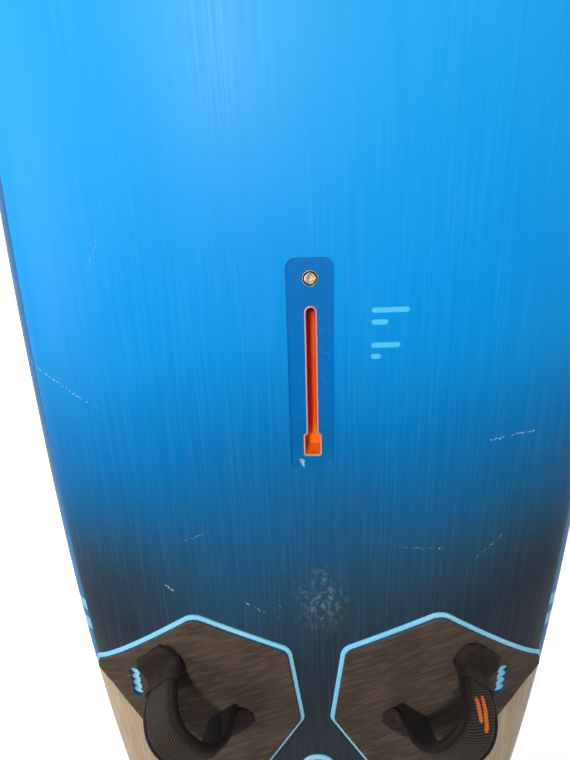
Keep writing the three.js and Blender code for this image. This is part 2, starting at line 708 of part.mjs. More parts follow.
// A loop between two anchors, with a plate, screw and cap on each end.
function addStrap(name, anchors) {
  const [outer, inner] = anchors.map(([x, y]) => deckPoint(x, y, PAD_TOP));
  const span = outer.distanceTo(inner);
  const middle = outer.clone().add(inner).multiplyScalar(0.5);
  const meanNormal = deckNormal(...anchors[0]).add(deckNormal(...anchors[1])).normalize();
  const along = inner.clone().sub(outer).normalize();
  const normal = meanNormal.addScaledVector(along, -meanNormal.dot(along)).normalize();
  const loop = placedGroup(surfaceFrame(middle, inner, normal));
  const halfSpan = span / 2 - STRAP_INSET;
  addNode(loop, `${name}_strap_foam`, loopLayer(halfSpan, -8.4, -1.6, 0.94), MATERIAL.neoprene);
  addNode(loop, `${name}_strap_webbing`, loopLayer(halfSpan, -1.3, 1.3, 0.78), MATERIAL.webbing);
  addNode(loop, `${name}_strap_sleeve`, loopLayer(halfSpan, 1.6, 4.4, 1), MATERIAL.neoprene);
  [['outer', anchors[0], inner], ['inner', anchors[1], outer]].forEach(([end, [x, y], target]) => {
    const frame = surfaceFrame(deckPoint(x, y, PAD_TOP), target, deckNormal(x, y));
    const foot = placedGroup(frame);
    addNode(foot, `${name}_strap_plate_${end}`, strapPlate(), MATERIAL.black);
    addNode(foot, `${name}_strap_screw_${end}`, strapScrew(), MATERIAL.steel);
    addNode(foot, `${name}_strap_cap_${end}`, strapCap(), MATERIAL.neoprene);
    padHoles.push(inWorld(cylinderSolid(SCREW_R + GAP + 0.2, -PAD_TOP - 2, 20, 0, 0, 8), frame));
  });
}

const SIDES = [['left', 1], ['right', -1]];
const HOLE_OFFSET = (HOLE_PITCH * (HOLE_COUNT - 1)) / 2;

SIDES.forEach(([side, sign]) => {
  const anchors = FRONT_ANCHORS.map(([x, y]) => [x, y * sign]);
  addInsert(`front_${side}_insert_outer`, anchors[0][0] - HOLE_OFFSET, anchors[0][1]);
  addInsert(`front_${side}_insert_inner`, anchors[1][0] - HOLE_OFFSET, anchors[1][1]);
  addSpareWindow(addInsert(`front_${side}_insert_spare`, SPARE_INSERT[0], SPARE_INSERT[1] * sign));
  addStrap(`front_${side}`, anchors);
});
addInsert('rear_insert_left', REAR_ANCHORS[0][0] - HOLE_OFFSET, REAR_ANCHORS[0][1]);
addInsert('rear_insert_right', REAR_ANCHORS[1][0] - HOLE_OFFSET, REAR_ANCHORS[1][1]);
addStrap('rear', REAR_ANCHORS);

// ---------- hull pieces ----------

const hull = hullSolid();
const trackOpening = trackNeck(GAP, 100, 140);
const ventOpening = cylinderSolid(VENT_FLANGE_R + GAP, 100, 140, VENT_X, 0, 14);
const skins = hull.subtract(hullSolid(SKIN));
const insertRooms = joined(inserts);

const deckSkin = skins
  .intersect(railSide(0.15, 700))
  .subtract(panelRecess())
  .subtract(trackOpening)
  .subtract(ventOpening)
  .subtract(finBoss(GAP, 50, 90))
  .subtract(insertRooms);
addNode(board, 'deck_skin', deckSkin, MATERIAL.deck);

const bottomSkin = skins.intersect(railSide(-0.15, -300)).subtract(finBoxOuter(GAP, -20, 30));
addNode(board, 'bottom_skin', bottomSkin, MATERIAL.bottom);

// The same block limits, grown by the gap on every side.
function grown(limits) {
  return limits.map((value, i) => value + (i % 2 === 0 ? -GAP : GAP));
}

const mastPocket = boxSolid(...grown([...MAST_BLOCK.slice(0, 5), 140]));
const finPocket = boxSolid(...grown([...FIN_BLOCK.slice(0, 4), -20, FIN_BLOCK[5]]));
const foamCore = hullSolid(SKIN + GAP)
  .subtract(mastPocket)
  .subtract(finPocket)
  .subtract(finBoss(GAP, 50, 90))
  .subtract(insertRooms);
addNode(board, 'foam_core', foamCore, MATERIAL.foam);

addNode(board, 'mast_track_box', mastTrackBox(), MATERIAL.orange);
addNode(board, 'mast_block', mastBlock(), MATERIAL.denseFoam);
addNode(board, 'vent_housing', ventHousing(), MATERIAL.black);
addNode(board, 'vent_screw', ventScrew(), MATERIAL.brass);
addNode(board, 'vent_o_ring', ventSeal(), MATERIAL.rubber);

addNode(board, 'fin_block', finBlock(), MATERIAL.denseFoam);
addNode(board, 'fin_box', finBox(), MATERIAL.black);
addNode(board, 'fin', fin(), MATERIAL.fin);
addNode(board, 'fin_barrel_nut', finBarrelNut(), MATERIAL.brass);
addNode(board, 'fin_washer', finWasher(), MATERIAL.steel);
addNode(board, 'fin_bolt', finBolt(), MATERIAL.steel);

// ---------- pads ----------

// Part of the slab between two heights over the deck that lies inside an outline.
function padLayer(corners, low, high, openings) {
  const outline = prismSolid(roundedShape(corners), 0, 300, 3);
  const underTop = outline.intersect(hull.translate([0, 0, high]));
  return underTop.subtract(hull.translate([0, 0, low])).subtract(openings);
}

const baseOpenings = joined(padHoles);
const topOpenings = baseOpenings.add(joined(padWindows));

function addPad(name, corners) {
  const base = padLayer(corners, GAP, PAD_BASE_TOP, baseOpenings);
  const top = padLayer(insetCorners(corners, PAD_BORDER), PAD_BASE_TOP + GAP, PAD_TOP, topOpenings);
  addNode(board, `${name}_pad_base`, base, MATERIAL.padBase);
  addNode(board, `${name}_pad_top`, top, MATERIAL.padTop);
}

addPad('front_left', FRONT_PAD);
addPad('front_right', mirrored(FRONT_PAD));
addPad('rear', REAR_PAD);

export default board;
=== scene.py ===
"""Windsurf board with pads, foot straps, mast track, vent and fin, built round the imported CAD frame.

Metres, in the CAD frame: +X towards the nose, +Y to port, +Z up. The origin is on the flat of
the hull's bottom, under the middle of the mast track slot.
"""
import functools
import math
import operator

import bmesh
import bpy
import numpy as np
from mathutils import Euler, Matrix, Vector
from mathutils.geometry import delaunay_2d_cdt


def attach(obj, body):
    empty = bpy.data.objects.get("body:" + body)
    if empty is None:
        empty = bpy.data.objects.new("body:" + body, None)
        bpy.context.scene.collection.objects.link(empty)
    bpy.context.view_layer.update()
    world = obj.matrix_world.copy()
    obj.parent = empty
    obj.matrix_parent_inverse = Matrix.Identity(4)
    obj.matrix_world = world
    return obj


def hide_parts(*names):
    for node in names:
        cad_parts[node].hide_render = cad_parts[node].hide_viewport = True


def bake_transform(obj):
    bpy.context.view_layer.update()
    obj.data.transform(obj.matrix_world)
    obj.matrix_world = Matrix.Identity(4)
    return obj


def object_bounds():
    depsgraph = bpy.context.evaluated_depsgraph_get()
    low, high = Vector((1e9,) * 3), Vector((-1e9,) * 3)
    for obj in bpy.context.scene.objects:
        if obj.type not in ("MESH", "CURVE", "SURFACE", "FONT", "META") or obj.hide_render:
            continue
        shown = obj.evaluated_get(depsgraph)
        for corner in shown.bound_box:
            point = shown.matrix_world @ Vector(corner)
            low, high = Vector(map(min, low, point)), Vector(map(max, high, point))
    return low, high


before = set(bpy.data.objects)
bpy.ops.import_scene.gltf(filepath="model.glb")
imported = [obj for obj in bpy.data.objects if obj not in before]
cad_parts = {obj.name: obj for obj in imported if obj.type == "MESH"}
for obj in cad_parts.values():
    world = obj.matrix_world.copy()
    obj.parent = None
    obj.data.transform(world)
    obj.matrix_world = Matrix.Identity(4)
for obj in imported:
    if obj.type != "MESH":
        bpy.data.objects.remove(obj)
cad_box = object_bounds()

# ---------- sizes shared with the CAD ----------

GAP = 0.0003  # clearance between touching pieces
SIDES = (("left", 1), ("right", -1))

TAIL_X = -1.335
NOSE_X = 1.045
WIDE_X = -0.010  # widest station
HALF_WIDTH = 0.345
HULL_THICKNESS = 0.125
TAIL_OUTLINE = 2.4
NOSE_OUTLINE_SIDE = 2.4
NOSE_OUTLINE_TIP = 1.9
DECK_CROWN = 2.7
CHINE_ROUND = 2.2
BOTTOM_FLAT = 0.62
ROCKER_START = 0.060
ROCKER_LIFT = 0.195
ROCKER_POWER = 2.3
SKIN = 0.004

PANEL_AFT = -0.103
PANEL_FORE = 0.137
PANEL_HALF_WIDTH = 0.0248
PANEL_RADIUS = 0.010
PANEL_Z = 0.1234

SLOT_FORE = 0.0878
SLOT_AFT = -0.0877
SLOT_HALF_WIDTH = 0.005
RIM = 0.002
RIM_TOP = PANEL_Z + 0.0008
ENTRY_LENGTH = 0.029
ENTRY_HALF_WIDTH = 0.0105
ENTRY_RADIUS = 0.004
TRACK_BODY_HALF_WIDTH = 0.018
TRACK_BODY_TOP = 0.1192
TRACK_BODY_BOTTOM = 0.084
TRACK_END_WALL = 0.012
TEE_HALF_WIDTH = 0.011
TEE_TOP = 0.108
TEE_BOTTOM = 0.092

VENT_X = 0.1163
VENT_FLANGE_R = 0.0084
VENT_HEAD_R = 0.0063
VENT_RIM_R = 0.0077  # the flange is pale outside this
VENT_BORE_R = 0.0033
VENT_BARREL_R = VENT_FLANGE_R - 0.0014
VENT_BOTTOM = 0.099
VENT_SEAT_Z = 0.1196
SEAL_RING_R = 0.0045
SEAL_CORD_R = 0.00065

FIN_X = -1.192
FIN_HEAD_LENGTH = 0.153
FIN_HEAD_WIDTH = 0.021
FIN_HEAD_HEIGHT = 0.045
FIN_BOX_WALL = 0.007
FIN_BOX_TOP = 0.0505
BOSS_R = 0.013
BOSS_RECESS_R = 0.010
FIN_DEPTH = 0.372
FIN_ROOT_CHORD = 0.122
FIN_TIP_CHORD = 0.030
FIN_RAKE = 0.070
FIN_ROOT_THICKNESS = 0.012
BOLT_R = 0.003
BOLT_CLEARANCE = 0.0006
BOLT_HEAD_R = 0.0054
WASHER_R = 0.009
WASHER_THICKNESS = 0.0015
HEX_R = 0.0023  # hex sockets of the vent plug and the fin bolt
BARREL_NUT_R = 0.0055
BARREL_NUT_Z = 0.024

PAD_BASE_TOP = 0.003
PAD_TOP = 0.0075
PAD_BORDER = 0.0054
PAD_RAIL_BORDER = 0.0004
FRONT_PAD = [
    (-0.3164, 0.1637, 0.026), (-0.421, 0.3176, 0.003), (-0.437, 0.3205, 0.004), (-0.460, 0.296, 0.030),
    (-0.530, 0.253, 0.090), (-0.690, 0.214, 0.060), (-0.735, 0.150, 0.034), (-0.505, 0.018, 0.014),
    (-0.3747, 0.034, 0.020),
]
FRONT_PAD_RAIL_SIDES = (2, 3, 4, 5)  # sides, by their first corner, where no border shows
REAR_PAD = [
    (-0.560, 0, 0.026), (-0.765, 0.122, 0.060), (-0.900, 0.176, 0.090), (-1.115, 0.128, 0.034),
    (-1.150, 0.060, 0.026), (-1.150, -0.060, 0.026), (-1.115, -0.128, 0.034), (-0.900, -0.176, 0.090),
    (-0.765, -0.122, 0.060),
]

HOLE_PITCH = 0.0127
HOLE_COUNT = 4
HOLE_R = 0.0028
HOLE_OFFSET = HOLE_PITCH * (HOLE_COUNT - 1) / 2
HOLE_SHIFTS = [(i - (HOLE_COUNT - 1) / 2) * HOLE_PITCH for i in range(HOLE_COUNT)]
INSERT_HALF_WIDTH = 0.008
INSERT_HALF_LENGTH = HOLE_OFFSET + INSERT_HALF_WIDTH
INSERT_DEPTH = 0.028
INSERT_SINK = 0.0012
WINDOW_R = 0.008
DIMPLE_R = 0.0021

FRONT_ANCHORS = [(-0.404, 0.211), (-0.499, 0.126)]  # outer end first
REAR_ANCHORS = [(-0.985, 0.078), (-0.985, -0.078)]
SPARE_INSERT = (-0.446, 0.255)
STRAP_TOP = 0.084
STRAP_HALF_WIDTH = 0.032
STRAP_INSET = 0.008
ARCH_POWER = 2.5
PLATE_SIZE = 0.032
PLATE_THICKNESS = 0.002
SCREW_R = 0.0025
SCREW_LENGTH = 0.030


# ---------- small geometry helpers ----------

def unit(vector):
    return vector / np.linalg.norm(vector)


def signed_power(value, power):
    return np.sign(value) * np.abs(value) ** power


def distances(points):
    """Length along a polyline at each of its points."""
    return np.concatenate([[0], np.cumsum(np.linalg.norm(np.diff(points, axis=0), axis=1))])


def turned(points, matrix):
    """points moved by a 4x4 matrix."""
    return points @ matrix[:3, :3].T + matrix[:3, 3]


def at(x, y, z=0.0):
    matrix = np.eye(4)
    matrix[:3, 3] = (x, y, z)
    return matrix


def arc_corner(x, y, radius, before, after, steps):
    """Points of a circular fillet at (x, y) between its neighbours."""
    corner = np.array([x, y])
    to_before, to_after = unit(np.array(before) - corner), unit(np.array(after) - corner)
    half = math.acos(np.clip(to_before @ to_after, -1, 1)) / 2
    centre = corner + unit(to_before + to_after) * radius / math.sin(half)
    start = corner + to_before * radius / math.tan(half) - centre
    end = corner + to_after * radius / math.tan(half) - centre
    first = math.atan2(start[1], start[0])
    sweep = (math.atan2(end[1], end[0]) - first + math.pi) % (2 * math.pi) - math.pi
    angles = first + sweep * np.linspace(0, 1, steps)
    return centre + radius * np.column_stack([np.cos(angles), np.sin(angles)])


def rounded(corners, steps=8):
    """Closed outline through (x, y, radius) corners."""
    places = [corner[:2] for corner in corners]
    neighbours = zip(places[-1:] + places[:-1], places[1:] + places[:1])
    return np.vstack([arc_corner(*corner, before, after, steps)
                      for corner, (before, after) in zip(corners, neighbours)])


def slab(x0, x1, half_across, radius, steps=8):
    """Rounded rectangle from x0 to x1, centred on y = 0."""
    return rounded([(x0, -half_across, radius), (x1, -half_across, radius),
                    (x1, half_across, radius), (x0, half_across, radius)], steps)


def circle(radius, x=0.0, sides=48):
    angles = np.arange(sides) * 2 * math.pi / sides
    return np.column_stack([x + radius * np.cos(angles), radius * np.sin(angles)])


def signed_area(outline):
    x, y = outline[:, 0], outline[:, 1]
    return 0.5 * np.sum(x * np.roll(y, -1) - y * np.roll(x, -1))


def resampled(outline, spacing):
    """The same outline with no side longer than about spacing."""
    points = []
    for a, b in zip(outline, np.roll(outline, -1, axis=0)):
        count = max(1, round(np.linalg.norm(b - a) / spacing))
        points += [a + (b - a) * i / count for i in range(count)]
    return np.array(points)


def shrunk(outline, inset):
    """Every point moved inwards, square to the outline."""
    along = np.roll(outline, -1, axis=0) - np.roll(outline, 1, axis=0)
    along /= np.linalg.norm(along, axis=1)[:, None] + 1e-12
    inward = np.column_stack([-along[:, 1], along[:, 0]]) * np.sign(signed_area(outline))
    return outline + inward * inset


def inset_corners(corners, insets):
    """The corners with each side, counted from its first corner, moved inwards by its own inset."""
    ring = np.array([c[:2] for c in corners])
    sense = np.sign(signed_area(ring))
    moved = []
    for i, (x, y, radius) in enumerate(corners):
        sides = unit(ring[i] - ring[i - 1]), unit(ring[(i + 1) % len(ring)] - ring[i])
        inward = np.array([(-side[1], side[0]) for side in sides]) * sense
        shift = np.linalg.solve(inward, [insets[i - 1], insets[i]])
        smaller = max(radius - 0.6 * max(insets[i - 1], insets[i]), 0.002)
        moved.append((x + shift[0], y + shift[1], smaller))
    return moved


def mirrored(corners):
    return [(x, -y, radius) for x, y, radius in corners][::-1]


def even_points(points, count):
    """count points evenly spaced along a polyline."""
    points = np.asarray(points, float)
    length = distances(points)
    wanted = np.linspace(0, length[-1], count)
    return np.column_stack([np.interp(wanted, length, column) for column in points.T])


def smooth_path(points, count, rounds=3):
    """A polyline with its corners cut round, resampled evenly."""
    points = np.asarray(points, float)
    for _ in range(rounds):
        a, b = points[:-1], points[1:]
        middle = np.stack([0.75 * a + 0.25 * b, 0.25 * a + 0.75 * b], axis=1).reshape(-1, points.shape[1])
        points = np.vstack([points[:1], middle, points[-1:]])
    return even_points(points, count)


def line_normals(points):
    """Unit normals of a flat line, to its left."""
    slope = np.gradient(points, axis=0)
    normal = np.column_stack([-slope[:, 1], slope[:, 0]])
    return normal / np.linalg.norm(normal, axis=1)[:, None]


# ---------- hull surface ----------

def outline_share(x):
    aft = (WIDE_X - x) / (WIDE_X - TAIL_X)
    fore = (x - WIDE_X) / (NOSE_X - WIDE_X)
    return np.clip(np.where(x < WIDE_X, aft, fore), 0, 1)


def half_width(x):
    share = outline_share(x)
    aft = (1 - share**TAIL_OUTLINE) ** (1 / TAIL_OUTLINE)
    fore = (1 - share**NOSE_OUTLINE_SIDE) ** (1 / NOSE_OUTLINE_TIP)
    return HALF_WIDTH * np.where(x < WIDE_X, aft, fore)


def thickness(x):
    aft = 1 - 0.5 * np.clip(x / TAIL_X, 0, 1) ** 2.2
    fore = 1 - 0.45 * np.clip(x / NOSE_X, 0, 1) ** 2
    return HULL_THICKNESS * np.where(x < 0, aft, fore)


def rail_share(x):
    """Share of the thickness that lies under the rail's widest line."""
    return np.where(x < 0, 0.42 - 0.08 * x / TAIL_X, 0.42 + 0.08 * x / NOSE_X)


def end_fill(x):
    """1 along the hull, falling to 0 at its two ends."""
    power = np.where(x < WIDE_X, 60, 14)
    return np.sqrt(np.clip(1 - outline_share(x) ** power, 0, 1))


def rail_height(x):
    climb = np.clip((x - ROCKER_START) / (NOSE_X - ROCKER_START), 0, 1)
    return ROCKER_LIFT * climb**ROCKER_POWER + rail_share(x) * thickness(x)


def deck_height(x, y):
    across = np.clip(np.abs(y) / np.maximum(half_width(x), 1e-6), 0, 1)
    crown = (1 - across**DECK_CROWN) ** (1 / DECK_CROWN)
    return rail_height(x) + (1 - rail_share(x)) * thickness(x) * end_fill(x) * crown


def deck_normal(x, y):
    step = 0.0005
    dx = (deck_height(x + step, y) - deck_height(x - step, y)) / (2 * step)
    dy = (deck_height(x, y + step) - deck_height(x, y - step)) / (2 * step)
    normal = np.stack([-dx, -dy, np.ones_like(dx)], axis=-1)
    return normal / np.linalg.norm(normal, axis=-1, keepdims=True)


def over_deck(x, y, lift):
    """Points on the deck's normal, on the deck moved straight up by lift."""
    x, y = np.asarray(x, float), np.asarray(y, float)
    normal = deck_normal(x, y)
    base = np.stack([x, y, deck_height(x, y)], axis=-1)
    return base + normal * (lift * normal[..., 2])[..., None]


def surface_frame(origin, target, normal):
    """4x4 matrix at origin whose X runs towards target and whose Z is normal."""
    x_axis = target - origin
    x_axis = unit(x_axis - normal * (x_axis @ normal))
    matrix = np.eye(4)
    matrix[:3, :3] = np.column_stack([x_axis, np.cross(normal, x_axis), normal])
    matrix[:3, 3] = origin
    return matrix


def insert_frame(x, y):
    """4x4 matrix on top of a strap insert, X running forward."""
    ahead = over_deck(x + 0.1, y, -INSERT_SINK)
    return surface_frame(over_deck(x, y, -INSERT_SINK), ahead, deck_normal(x, y))


def screw_frame(x, y, target):
    """4x4 matrix on the pad at a strap screw, X running towards target."""
    return surface_frame(over_deck(x, y, PAD_TOP), target, deck_normal(x, y))


# ---------- mesh helpers ----------

def make(name, verts, faces):
    """A mesh object with its faces turned outwards."""
    mesh = bpy.data.meshes.new(name)
    mesh.from_pydata([tuple(v) for v in verts], [], faces)
    edit = bmesh.new()
    edit.from_mesh(mesh)
    bmesh.ops.remove_doubles(edit, verts=edit.verts, dist=1e-7)
    bmesh.ops.recalc_face_normals(edit, faces=edit.faces)
    if edit.calc_volume(signed=True) < 0:
        bmesh.ops.reverse_faces(edit, faces=edit.faces)
    edit.to_mesh(mesh)
    edit.free()
    obj = bpy.data.objects.new(name, mesh)
    bpy.context.scene.collection.objects.link(obj)
    return obj


def loft(rings, closed=True, caps=True):
    """Vertices and faces of a skin through rings of equal point counts."""
    rings = np.asarray(rings, float)
    rows, count = rings.shape[:2]
    last = count if closed else count - 1
    faces = []
    for i in range(rows - 1):
        for j in range(last):
            a, b = i * count + j, i * count + (j + 1) % count
            faces.append((a, b, b + count, a + count))
    if caps:
        faces.append(tuple(reversed(range(count))))
        faces.append(tuple(range((rows - 1) * count, rows * count)))
    return rings.reshape(-1, 3), faces


def closed_sheet(outer, inner):
    """Vertices and faces of a closed sheet between two faces of equal rows."""
    rings = np.concatenate([outer, inner[:, ::-1]], axis=1)
    verts, faces = loft(rings, caps=False)
    count, half = rings.shape[1], rings.shape[1] // 2
    for base in (0, (len(rings) - 1) * count):
        faces += [(base + j, base + j + 1, base + count - 2 - j, base + count - 1 - j)
                  for j in range(half - 1)]
    return verts, faces


def ring_at(outline, inset, z):
    flat = shrunk(outline, inset) if inset else outline
    return np.column_stack([flat, np.full(len(flat), z)])


def stack(name, outline, levels, matrix=np.eye(4)):
    """A solid through (inset, height) levels of one outline."""
    rings = np.array([ring_at(outline, inset, z) for inset, z in levels])
    return make(name, *loft(turned(rings, matrix)))


def bevelled(low, high, low_edge, high_edge):
    """Levels of a solid with a bevel round its bottom and its top."""
    return [(low_edge, low), (0, low + low_edge), (0, high - high_edge), (high_edge, high)]


def drill(radius, low, high, x=0.0, matrix=np.eye(4), sides=48):
    """A straight round cutter, or a hex one with 6 sides."""
    return stack("cut", circle(radius, x, sides), [(0, low), (0, high)], matrix)


def lathe(name, profile, matrix, sides=56):
    """A solid of revolution about Z; profile is closed, or starts and ends on the axis."""
    profile = np.array(profile, float)
    angles = np.arange(sides + 1) * 2 * math.pi / sides
    rings = [np.column_stack([profile[:, 0] * math.cos(a), profile[:, 0] * math.sin(a), profile[:, 1]])
             for a in angles]
    return make(name, *loft(turned(np.array(rings), matrix), closed=False, caps=False))


def joined(objects):
    """All objects' meshes as one object."""
    keep, *others = objects
    whole = bmesh.new()
    for obj in objects:
        whole.from_mesh(obj.data)
    keep.data = bpy.data.meshes.new(keep.name)
    whole.to_mesh(keep.data)
    whole.free()
    for obj in others:
        bpy.data.objects.remove(obj)
    return keep


def boolean(target, others, operation="DIFFERENCE"):
    """Cuts each other object from target, or joins it to target; the others are removed."""
    for other in others:
        modifier = target.modifiers.new("boolean", "BOOLEAN")
        modifier.operation = operation
        modifier.solver = "MANIFOLD"
        modifier.object = other
    bpy.context.view_layer.update()
    graph = bpy.context.evaluated_depsgraph_get()
    mesh = bpy.data.meshes.new_from_object(target.evaluated_get(graph))
    target.modifiers.clear()
    target.data = mesh
    for other in others:
        bpy.data.objects.remove(other)


def piece(obj, finish, *stands_for, body="board", sharp=35):
    """Shades the mesh, gives it its material and puts it on its CAD body."""
    shader, slot = finish
    obj.data.materials.clear()
    obj.data.materials.append(shader)
    obj.data.shade_smooth()
    if sharp:
        obj.data.set_sharp_from_angle(angle=math.radians(sharp))
    if stands_for:
        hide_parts(*stands_for)
    if body:
        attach(obj, body)
    return obj


# ---------- materials ----------

def paint(text):
    """Linear colour of an sRGB hex colour."""
    channels = [int(text[i:i + 2], 16) / 255 for i in (1, 3, 5)]
    return (*[c / 12.92 if c <= 0.04045 else ((c + 0.055) / 1.055) ** 2.4 for c in channels], 1.0)


class Value:
    """A node's output; arithmetic on it adds math nodes."""

    def __init__(self, shader, socket):
        self.shader = shader
        self.socket = socket

    def __abs__(self):
        return self.shader.math("ABSOLUTE", self)

    def __add__(self, other):
        return self.shader.math("ADD", self, other)

    def __sub__(self, other):
        return self.shader.math("SUBTRACT", self, other)

    def __mul__(self, other):
        return self.shader.math("MULTIPLY", self, other)

    def __truediv__(self, other):
        return self.shader.math("DIVIDE", self, other)

    def __lt__(self, other):
        return self.shader.math("LESS_THAN", self, other)

    def __gt__(self, other):
        return self.shader.math("GREATER_THAN", self, other)

    def __or__(self, other):
        return self.shader.math("MAXIMUM", self, other)


def strongest(masks):
    return functools.reduce(operator.or_, masks)


class Shader:
    """A principled material and short ways to add nodes to it."""

    def __init__(self, name, color, roughness, **constants):
        self.material = bpy.data.materials.new(name)
        self.material.use_nodes = True
        self.tree = self.material.node_tree
        self.surface = self.tree.nodes["Principled BSDF"]
        self.surface.inputs["Base Color"].default_value = paint(color)
        self.surface.inputs["Roughness"].default_value = roughness
        for socket, value in constants.items():
            self.surface.inputs[socket.replace("_", " ")].default_value = value
        self.bump = None

    def put(self, socket, value):
        if isinstance(value, Value):
            self.tree.links.new(value.socket, socket)
        elif value is not None:
            socket.default_value = value

    def node(self, kind, inputs=(), **settings):
        """A new node; inputs is a list of values in order, or a dictionary by socket."""
        made = self.tree.nodes.new(kind)
        for key, value in settings.items():
            setattr(made, key, value)
        for key, value in inputs.items() if isinstance(inputs, dict) else enumerate(inputs):
            self.put(made.inputs[key], value)
        return made

    def value(self, kind, inputs=(), output=0, **settings):
        return Value(self, self.node(kind, inputs, **settings).outputs[output])

    def math(self, operation, *values, clamp=False):
        return self.value("ShaderNodeMath", values, operation=operation, use_clamp=clamp)

    def wave(self, value, rate):
        return self.math("SINE", value * rate)

    def vector(self, operation, *values):
        output = "Value" if operation in ("DOT_PRODUCT", "LENGTH", "DISTANCE") else "Vector"
        return self.value("ShaderNodeVectorMath", values, output, operation=operation)

    def scaled(self, vector, scale):
        return self.value("ShaderNodeVectorMath", {0: vector, "Scale": scale}, "Vector", operation="SCALE")

    def flat(self, x, y):
        return self.value("ShaderNodeCombineXYZ", (x, y))

    def split(self, vector):
        return [Value(self, socket) for socket in self.node("ShaderNodeSeparateXYZ", (vector,)).outputs]

    def place(self, scale=(1, 1, 1), turn=0.0):
        """Object coordinates, turned about Z by degrees and scaled."""
        coordinate = self.value("ShaderNodeTexCoord", (), "Object")
        if turn:
            inputs = {"Vector": coordinate, "Angle": math.radians(turn)}
            coordinate = self.value("ShaderNodeVectorRotate", inputs, rotation_type="Z_AXIS")
        return self.vector("MULTIPLY", coordinate, scale)

    def cloth(self):
        """The piece's own flat coordinates in metres."""
        return self.value("ShaderNodeUVMap", uv_map="UVMap")

    def rail_level(self):
        return self.value("ShaderNodeAttribute", (), "Fac", attribute_name="rail_level")

    def noise(self, vector, scale=1.0, detail=3.0, rough=0.55):
        inputs = {"Vector": vector, "Scale": scale, "Detail": detail, "Roughness": rough}
        return self.value("ShaderNodeTexNoise", inputs)

    def spread(self, value, low, high, start=0.0, end=1.0):
        """value carried smoothly from low..high to start..end."""
        return self.value("ShaderNodeMapRange", (value, low, high, start, end),
                          interpolation_type="SMOOTHSTEP")

    def mix(self, factor, a, b):
        colors = [paint(color) if isinstance(color, str) else color for color in (a, b)]
        return self.value("ShaderNodeMix", {0: factor, 6: colors[0], 7: colors[1]}, 2, data_type="RGBA")

    def tint(self, a, b, value, low=0.35, high=0.7, most=1.0):
        """Colour a, going to b by up to most as value goes from low to high."""
        return self.mix(self.spread(value, low, high, 0.0, most), a, b)

    def ramp(self, value, stops):
        node = self.node("ShaderNodeValToRGB", (value,))
        elements = node.color_ramp.elements
        while len(elements) < len(stops):
            elements.new(0.5)
        for element, (position, color) in zip(elements, stops):
            element.position = position
            element.color = paint(color)
        return Value(self, node.outputs[0])

    def stroke(self, coordinate, start, end, width, wander=(0, 0, 0)):
        """1 within width of the line from start to end, seen from above, falling softly to 0."""
        a, b = Vector((*start, 0)), Vector((*end, 0))
        along = b - a
        flat = self.vector("ADD", self.vector("MULTIPLY", coordinate, (1, 1, 0)), wander)
        offset = self.vector("SUBTRACT", flat, a)
        reached = self.vector("DOT_PRODUCT", offset, along)
        share = self.math("MULTIPLY", reached, 1 / along.length_squared, clamp=True)
        gap = self.vector("DISTANCE", offset, self.scaled(along, share))
        return self.spread(gap, width * 0.6, width, 1.0, 0.0)

    def color(self, value):
        self.put(self.surface.inputs["Base Color"], value)
        return self

    def rough(self, value, low, high):
        self.put(self.surface.inputs["Roughness"], self.spread(value, 0.3, 0.7, low, high))
        return self

    def relief(self, height, distance, strength):
        """Adds a bump; later ones lie on the earlier ones."""
        inputs = {"Strength": strength, "Distance": distance, "Height": height, "Normal": self.bump}
        self.bump = self.value("ShaderNodeBump", inputs)
        self.put(self.surface.inputs["Normal"], self.bump)
        return self


# lengthwise paint gradient: place along the board and colour
DECK_GRADIENT = [
    (-0.52, "#33353f"), (-0.42, "#2b3642"), (-0.33, "#2a4456"), (-0.26, "#245272"), (-0.20, "#1b5d8c"),
    (-0.14, "#1069a2"), (-0.08, "#0377bd"), (-0.015, "#0186d0"), (0.055, "#0195e4"), (0.12, "#029bee"),
    (0.20, "#0ca2f2"), (0.32, "#1caaf6"), (0.60, "#34b4f8"),
]
BAR_ROWS = [(0.0815, 0.041), (0.0687, 0.0185), (0.0435, 0.0325), (0.031, 0.012)]  # place, length
BAR_PORT_END = -0.0637
BAR_HALF_HEIGHT = 0.0034
SCRATCHES = [  # start, end, half width
    ((0.0247, 0.3309), (-0.0262, 0.2491), 0.0007), ((-0.0746, -0.2039), (-0.0667, -0.2572), 0.0009),
    ((-0.2735, 0.1954), (-0.282, 0.186), 0.0012), ((-0.19, 0.13), (-0.205, 0.165), 0.0005),
    ((-0.215, -0.09), (-0.22, -0.16), 0.0005), ((-0.24, -0.20), (-0.205, -0.235), 0.0005),
    ((0.16, 0.22), (0.13, 0.235), 0.0004), ((-0.30, 0.09), (-0.318, 0.062), 0.0006),
    ((-0.093, 0.0135), (-0.099, 0.0105), 0.0022), ((-0.33, 0.05), (-0.29, 0.045), 0.0005),
]
SCRATCH_WANDER = 0.008
SCUFF_CENTRE = (-0.295, -0.006, 0)
SCUFF_R = 0.05
RAIL_BAND_TOP = 0.49  # as a share of the deck's rise over the rail's widest line
RAIL_BAND_BOTTOM = -0.14
RAIL_BAND_AFT = -0.437
RAIL_BLOCKS = [(-0.342, -0.3236), (-0.377, -0.357)]
RAIL_BLUE = "#1c6fa8"
TAN_FORE = -0.431  # forward end of the tan heel area
TAN_EDGE = 0.27  # its inner edge's distance from the middle, at the aft end of the rail band
TAN_EDGE_SLOPE = 0.28
TAN_INNERMOST = 0.135


